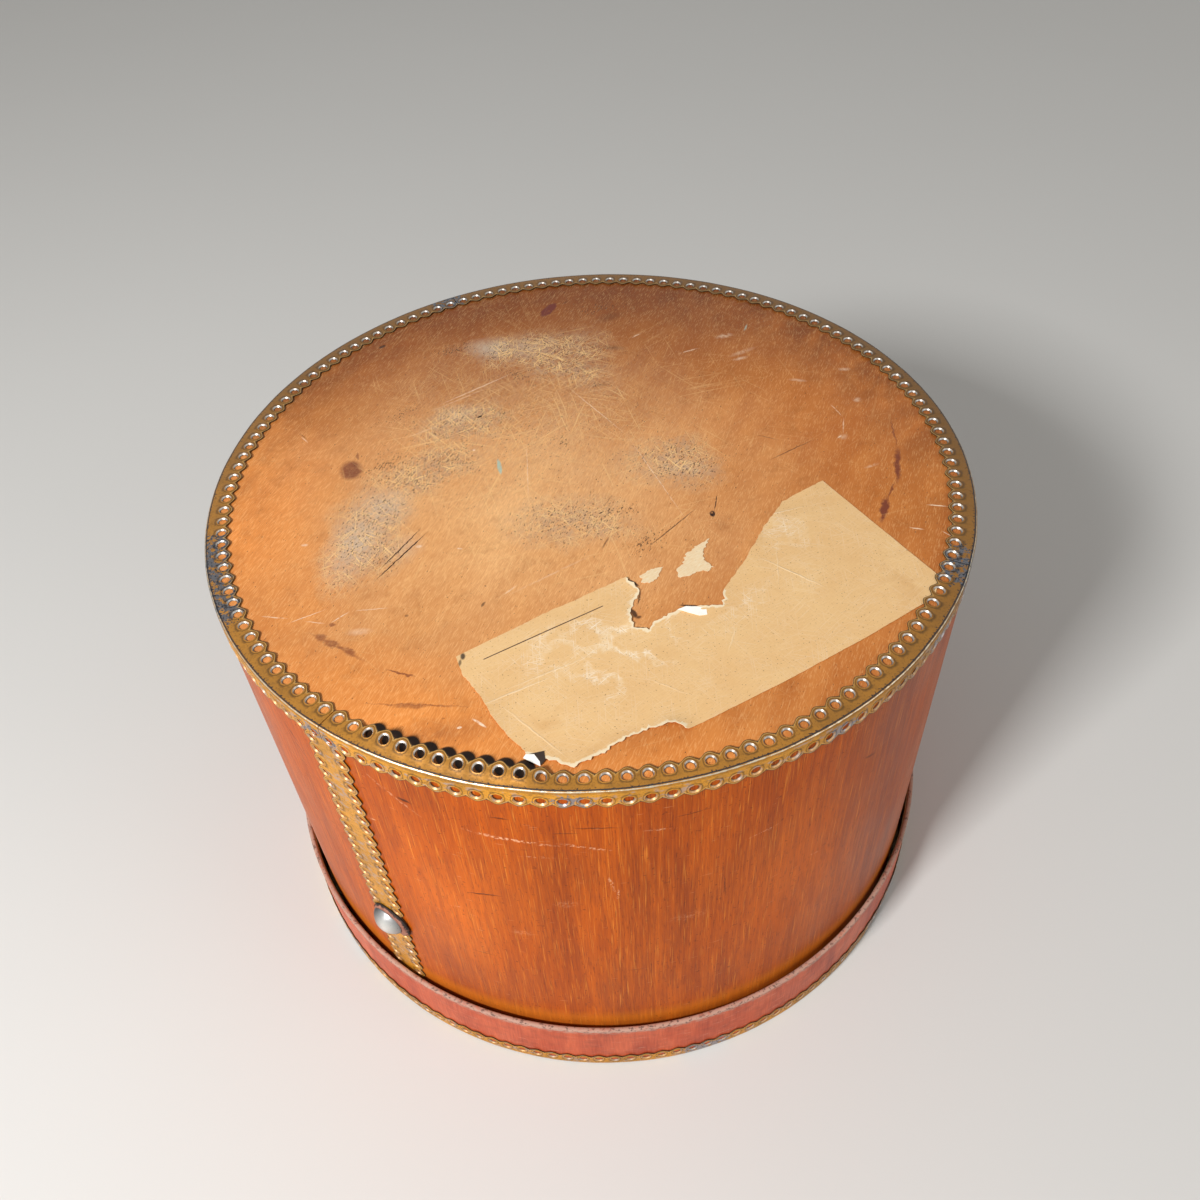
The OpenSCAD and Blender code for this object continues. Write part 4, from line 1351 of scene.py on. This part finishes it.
def stud(name, angle, seat_r, inner_r):
    """Domed stud: its head over the washer, its shank through the wall and its clenched end over the rove."""
    head = seat_r + WASHER_T
    foot = math.sqrt(inner_r ** 2 - (ROVE_D / 2) ** 2) - ROVE_T - head
    dome_r, lip, rise = 9.25, 0.6, 5.0
    ball = (dome_r ** 2 + rise ** 2) / (2 * rise)
    cap = []
    for i in range(15):
        r = (dome_r - 0.25) * math.cos(math.pi / 2 * i / 14)
        cap.append((r if i < 14 else 0, lip + math.sqrt(ball ** 2 - r ** 2) - (ball - rise)))
    profile = [
        (0, foot - CLENCH_H), (CLENCH_D / 2 - 0.5, foot - CLENCH_H), (CLENCH_D / 2, foot - CLENCH_H * 0.6),
        (CLENCH_D / 2, foot), (SHANK_D / 2, foot), (SHANK_D / 2, 0), (dome_r - 0.2, 0), (dome_r, 0.12),
        (dome_r, lip - 0.1),
    ] + cap

    def dent(s, t, h):
        return 0.12 * waver((s, t, h), 5, 21) if h > lip else 0.0

    points, faces = turned(profile, 64, wall_place(angle, head, STUD_Z), dent)
    piece = mesh_object(name, points, faces)
    piece.data.set_sharp_from_angle(angle=math.radians(45))
    return piece


# Operators, one for each piece or group of like pieces

class DrumWall(bpy.types.Operator):
    """Bent plywood wall of the drum, with the slit under its seam strip"""

    bl_idname = "hatbox.drum_wall"
    bl_label = "Drum Wall"

    def execute(self, context):
        look = context.scene.hatbox_wood
        slit = math.degrees(SLIT_W / 2 / WALL_R)
        inner = WALL_IN_R + 0.05
        profile = [(inner, MOUTH_Z + 0.4), (inner + 0.4, MOUTH_Z), (WALL_R - 0.5, MOUTH_Z), (WALL_R, MOUTH_Z + 0.5)]
        rows = 24
        profile += [(WALL_R, MOUTH_Z + 0.5 + (WALL_TOP - MOUTH_Z - 0.5) * i / rows) for i in range(1, rows + 1)]
        profile.append((inner, WALL_TOP))

        def move(angle, r, z):
            if r < WALL_R - 1:
                return r, z
            a = math.radians(angle)
            free = ease((WALL_TOP - 12 - z) / 30) * (1 - turn_between(angle, SEAM_ANGLE - 4, SEAM_ANGLE + 4, 6))
            wave = waver((60 * math.cos(a), 60 * math.sin(a), z / 4), 30)
            return r - look.waver * free * (0.5 + 0.5 * wave), z

        piece = swept("drum_wall_bent", profile, SEAM_ANGLE + slit, SEAM_ANGLE + 360 - slit, 360, move)
        seat(piece, wall_plywood(look), "drum", "drum_plywood", "drum_wall")
        return {"FINISHED"}


class Boards(bpy.types.Operator):
    """Round plywood boards of the drum and the lid, on their CAD solids"""

    bl_idname = "hatbox.boards"
    bl_label = "Boards"

    def execute(self, context):
        dress(board_plywood(context.scene.hatbox_wood), "drum_board", "lid_board")
        return {"FINISHED"}


class LidRim(bpy.types.Operator):
    """Bent plywood rim of the lid, with its rounded and rubbed upper edge"""

    bl_idname = "hatbox.lid_rim"
    bl_label = "Lid Rim"

    def execute(self, context):
        look = context.scene.hatbox_wood
        slit = math.degrees(SLIT_W / 2 / RIM_R)
        inner = RIM_IN_R + 0.05
        middle, half = (inner + RIM_R) / 2, (RIM_R - inner) / 2
        profile, edge = [(inner, RIM_LOW), (RIM_R, RIM_LOW)], [0.0, 0.0]
        for share in (0.2, 0.4, 0.6, 0.75, 0.86, 0.93):
            profile.append((RIM_R, RIM_LOW + (LID_H - RIM_LOW) * share))
            edge.append(ease((share - 0.72) / 0.28) * 0.8)
        for i in range(9):
            turn = math.pi * i / 8
            profile.append((middle + half * math.cos(turn), LID_H - 0.9 + 0.9 * math.sin(turn)))
            edge.append(1.0)

        def move(angle, r, z):
            a = math.radians(angle)
            free = ease((z - RIM_LOW - 8) / 30)
            dip = 0.35 * look.waver * (1 + waver((90 * math.cos(a), 90 * math.sin(a), 0), 18, 5)) * free
            return r - look.waver * 0.4 * free * waver((60 * math.cos(a), 60 * math.sin(a), 0), 30, 2), z - dip

        piece = swept(
            "lid_rim_bent", profile, LID_SEAM_ANGLE + slit, LID_SEAM_ANGLE + 360 - slit, 360, move, {"edge": edge}
        )
        seat(piece, rim_plywood(look), "lid", "rim_plywood", "lid_rim")
        return {"FINISHED"}


def lay_edging(body, slot, look, material, cell, radius, seam, move_between, bare):
    """The three lengths of an edging: copies of a cell, moved by a rule for each length's ends and worn."""
    cells = cells_round(radius)
    step = 360 / cells
    joints = [0, round(JOINT_B_TURN / 360 * cells), round(JOINT_C_TURN / 360 * cells), cells]
    for part, first, last in zip("abc", joints, joints[1:]):
        start = seam + first * step
        piece = repeated(
            f"{body}_edging_length_{part}", cell, material, Count=last - first,
            First_Turn=math.radians(start + step / 2), Turn=math.radians(step), Rise=0.0,
        )
        reshape(piece, move_between(start, start + (last - first) * step), bare=bare)
        thicken(piece, look.metal)
        seat(piece, None, body, slot, f"{body}_edging_{part}")
    bpy.data.objects.remove(cell)


class DrumEdging(bpy.types.Operator):
    """Perforated, scalloped edging round the drum's board, in three lengths"""

    bl_idname = "hatbox.drum_edging"
    bl_label = "Drum Edging"

    def execute(self, context):
        look = context.scene.hatbox_edging
        cell = edging_cell(look, DRUM_R, 0.15, 0.1, False)
        cell.data.transform(Matrix.Translation((0, 0, TOP * MM)))
        lay_edging(
            "drum", "lacquered_edging", look,
            lacquered_tinplate(look, "Gold-lacquered tinplate, drum edging", False), cell, DRUM_R, SEAM_ANGLE,
            lambda start, end: drum_edging_move(look, start, end), bareness(BARE_STRETCHES, SIDE_BARE_STRETCHES),
        )
        return {"FINISHED"}


class LidEdging(bpy.types.Operator):
    """Perforated, scalloped edging round the lid's board, in three lengths"""

    bl_idname = "hatbox.lid_edging"
    bl_label = "Lid Edging"

    def execute(self, context):
        look = context.scene.hatbox_edging
        lay_edging(
            "lid", "dull_edging", look, lacquered_tinplate(look, "Gold-lacquered tinplate, lid edging", True),
            edging_cell(look, LID_R, -0.2, 0.1, True), LID_R, LID_SEAM_ANGLE,
            lambda start, end: lid_edging_move, bareness(LID_BARE_STRETCHES),
        )
        return {"FINISHED"}


class SeamStrips(bpy.types.Operator):
    """Perforated strips over the seams of the drum and of the lid"""

    bl_idname = "hatbox.seam_strips"
    bl_label = "Seam Strips"

    def execute(self, context):
        look = context.scene.hatbox_edging
        material = lacquered_tinplate(look, "Gold-lacquered tinplate, seam strip", False)
        for name, node, radius, angle, z_low, z_high, body, slot in (
            ("seam_strip_pressed", "seam_strip", DRUM_R + 0.15, SEAM_ANGLE, STRIP_LOW, STRIP_HIGH + 3,
             "drum", "lacquered_edging"),
            ("lid_seam_strip_pressed", "lid_seam_strip", LID_R + 0.1, LID_SEAM_ANGLE, LID_STRIP_LOW,
             LID_STRIP_HIGH, "lid", "dull_edging"),
        ):
            count = round((z_high - z_low) / PITCH)
            rise = (z_high - z_low) / count
            cell = strip_cell(look, radius, rise)
            piece = repeated(
                name, cell, material, Count=count, First_Turn=math.radians(angle), Turn=0.0, Rise=rise * MM,
            )

            def move(place, z_low=z_low, z_high=z_high, angle=angle):
                z = min(max(z_low + place.z, z_low + 0.2), z_high - 0.2)
                across = math.radians((math.degrees(math.atan2(place.y, place.x)) - angle + 180) % 360 - 180)
                tip = min(abs(across) * math.hypot(place.x, place.y) / (STRIP_W / 2), 1.0)
                grow = 1 + (0.3 * tip ** 2 * max(waver((place.x, place.y, z), 16, 12), 0)) / WALL_R
                return Vector((place.x * grow, place.y * grow, z))

            reshape(piece, move, bare=lambda place: 0.12)
            thicken(piece, look.metal)
            seat(piece, None, body, slot, node)
            bpy.data.objects.remove(cell)
        return {"FINISHED"}


class Linings(bpy.types.Operator):
    """Lining papers, the strips behind the seams and the roves, on their CAD solids"""

    bl_idname = "hatbox.linings"
    bl_label = "Linings and Backings"

    def execute(self, context):
        dress(lining_paper(), "wall_lining", "board_lining", "lid_board_lining", "lid_rim_lining")
        dress(
            plated_steel("Plain steel, rolled", "#a09c94", 0.42),
            "seam_backing", "lid_seam_backing", "front_stud_rove", "rear_stud_rove",
        )
        return {"FINISHED"}


class Studs(bpy.types.Operator):
    """Domed strap studs at the seam and opposite it"""

    bl_idname = "hatbox.studs"
    bl_label = "Studs"

    def execute(self, context):
        # Painted highlight on the crown of each dome, over a dark tone that stands as painted shade for the rest of
        # it
        painted_crowns = wall_blots(*(
            (angle, STUD_Z + 1.5, 8.5, 10, 24, 1, 0.9) for angle in (SEAM_ANGLE + 0.6, SEAM_ANGLE + 180)
        ))
        nickel = plated_steel("Nickel-plated steel, worn", "#5e6063", 0.3, painted_crowns)
        for node, angle, outer, inner in (
            ("front_stud", SEAM_ANGLE, DRUM_R + 0.05, WALL_IN_R - (DRUM_R - WALL_R)),
            ("rear_stud", SEAM_ANGLE + 180, WALL_R + 0.05, WALL_IN_R - 0.3),
        ):
            seat(stud(f"{node}_domed", angle, outer, inner), nickel, "drum", "nickel_stud", node)
        return {"FINISHED"}


class Washers(bpy.types.Operator):
    """Leather washers under the studs: a torn remnant at the front, a whole one at the rear"""

    bl_idname = "hatbox.washers"
    bl_label = "Leather Washers"

    def execute(self, context):
        leather = old_leather()
        front = washer("front_washer_remnant", SEAM_ANGLE, DRUM_R + 0.3, REMNANT, 0.45, 3)
        seat(front, leather, "drum", "leather_washer", "front_stud_washer")
        rear = washer("rear_washer_leather", SEAM_ANGLE + 180, WALL_R + 0.1, WHOLE, 0.3, 8)
        seat(rear, leather, "drum", "leather_washer", "rear_stud_washer")
        return {"FINISHED"}


class Label(bpy.types.Operator):
    """Torn paper label on the drum's board, and the scraps left in its notch"""

    bl_idname = "hatbox.label"
    bl_label = "Paper Label"

    def execute(self, context):
        look = context.scene.hatbox_label
        paper = kraft_paper(look)
        seat(label_sheets(look), paper, "drum", "label_paper", "paper_label")
        seat(label_scraps(), paper, "drum", "label_paper", "label_scraps")
        return {"FINISHED"}


class Stage(bpy.types.Operator):
    """Pale floor, soft lights and the camera at the photograph's angle"""

    bl_idname = "hatbox.stage"
    bl_label = "Stage"

    def execute(self, context):
        look = context.scene.hatbox_stage
        scene = context.scene
        scene.view_settings.view_transform = "Standard"

        material, place = blank_material("Pale floor")
        fine = grain(place, (400, 400, 400), (0.3, 0.7))
        tone = coats(colour("#d9d8d5"), [(fine, 0.2, "#d3d2cf")])
        surface(material, tone, 0.9)
        corners = [(x * FLOOR_HALF, y * FLOOR_HALF, FLOOR_Z) for x, y in ((-1, -1), (1, -1), (1, 1), (-1, 1))]
        floor = mesh_object("floor", corners, [(0, 1, 2, 3)], smooth=False)
        floor.data.materials.append(material)

        world = bpy.data.worlds.new("Pale room")
        scene.world = world
        world.use_nodes = True
        world.node_tree.nodes.clear()
        tree = world.node_tree
        path = add(tree, "ShaderNodeLightPath")
        seen = most(*(path.outputs[f"Is {ray} Ray"] for ray in ("Camera", "Transmission", "Glossy")))
        light = add(tree, "ShaderNodeBackground", {"Color": colour("#f4f2ee"), "Strength": look.sky})
        white = add(tree, "ShaderNodeBackground", {"Color": colour("#fafafa"), "Strength": 0.9})
        mixed = add(tree, "ShaderNodeMixShader", {0: seen, 1: light.outputs[0], 2: white.outputs[0]})
        add(tree, "ShaderNodeOutputWorld", {"Surface": mixed.outputs[0]})

        for name, place, size, power in (
            ("Key", (-1.0, -1.15, 1.35), 0.34, look.key),
            ("Fill", (1.7, -0.9, 1.1), 1.2, look.key * 0.14),
        ):
            lamp = bpy.data.lights.new(name, "AREA")
            lamp.shape, lamp.size, lamp.energy = "SQUARE", size, power
            holder = bpy.data.objects.new(name, lamp)
            aim = Vector((0, 0, 0.15)) - Vector(place)
            holder.matrix_world = Matrix.Translation(place) @ aim.to_track_quat("-Z", "Y").to_matrix().to_4x4()
            context.collection.objects.link(holder)

        pitch, yaw, roll = look.camera_pitch, look.camera_yaw, look.camera_roll
        right = Vector((math.cos(yaw), math.sin(yaw), 0))
        ahead = Vector((-math.sin(yaw) * math.cos(pitch), math.cos(yaw) * math.cos(pitch), -math.sin(pitch)))
        above = right.cross(ahead)
        across = math.cos(roll) * right + math.sin(roll) * above
        above = math.cos(roll) * above - math.sin(roll) * right
        turn = Matrix((across, above, -ahead)).transposed().to_4x4()
        lens = bpy.data.cameras.new("Camera")
        lens.sensor_width, lens.lens, lens.clip_end = 36, look.lens, 50
        camera = bpy.data.objects.new("Camera", lens)
        camera.matrix_world = Matrix.Translation((0, -look.camera_back, look.camera_height)) @ turn
        context.collection.objects.link(camera)
        scene.camera = camera
        return {"FINISHED"}


OPERATORS = (
    DrumWall, Boards, LidRim, DrumEdging, LidEdging, SeamStrips, Linings, Studs, Washers, Label, Stage,
)
GROUPS = {
    "hatbox_wood": HatBoxWood, "hatbox_edging": HatBoxEdging, "hatbox_label": HatBoxLabel,
    "hatbox_stage": HatBoxStage,
}


class HatBoxPanel(bpy.types.Panel):
    """Pieces of the hat box, in the order in which they are made"""

    bl_idname = "VIEW3D_PT_hatbox"
    bl_label = "Hat Box"
    bl_space_type = "VIEW_3D"
    bl_region_type = "UI"
    bl_category = "Hat Box"

    def draw(self, context):
        for title, group in GROUPS.items():
            box = self.layout.box()
            for name in group.__annotations__:
                box.prop(getattr(context.scene, title), name)
        for operator in OPERATORS:
            self.layout.operator(operator.bl_idname)


def register():
    for item in (*GROUPS.values(), *OPERATORS, HatBoxPanel):
        bpy.utils.register_class(item)
    for title, group in GROUPS.items():
        setattr(bpy.types.Scene, title, PointerProperty(type=group))


def unregister():
    for title in GROUPS:
        delattr(bpy.types.Scene, title)
    for item in (HatBoxPanel, *reversed(OPERATORS), *GROUPS.values()):
        bpy.utils.unregister_class(item)


def main():
    register()
    for operator in OPERATORS:
        family, name = operator.bl_idname.split(".")
        getattr(getattr(bpy.ops, family), name)()


if __name__ == "__main__":
    main()
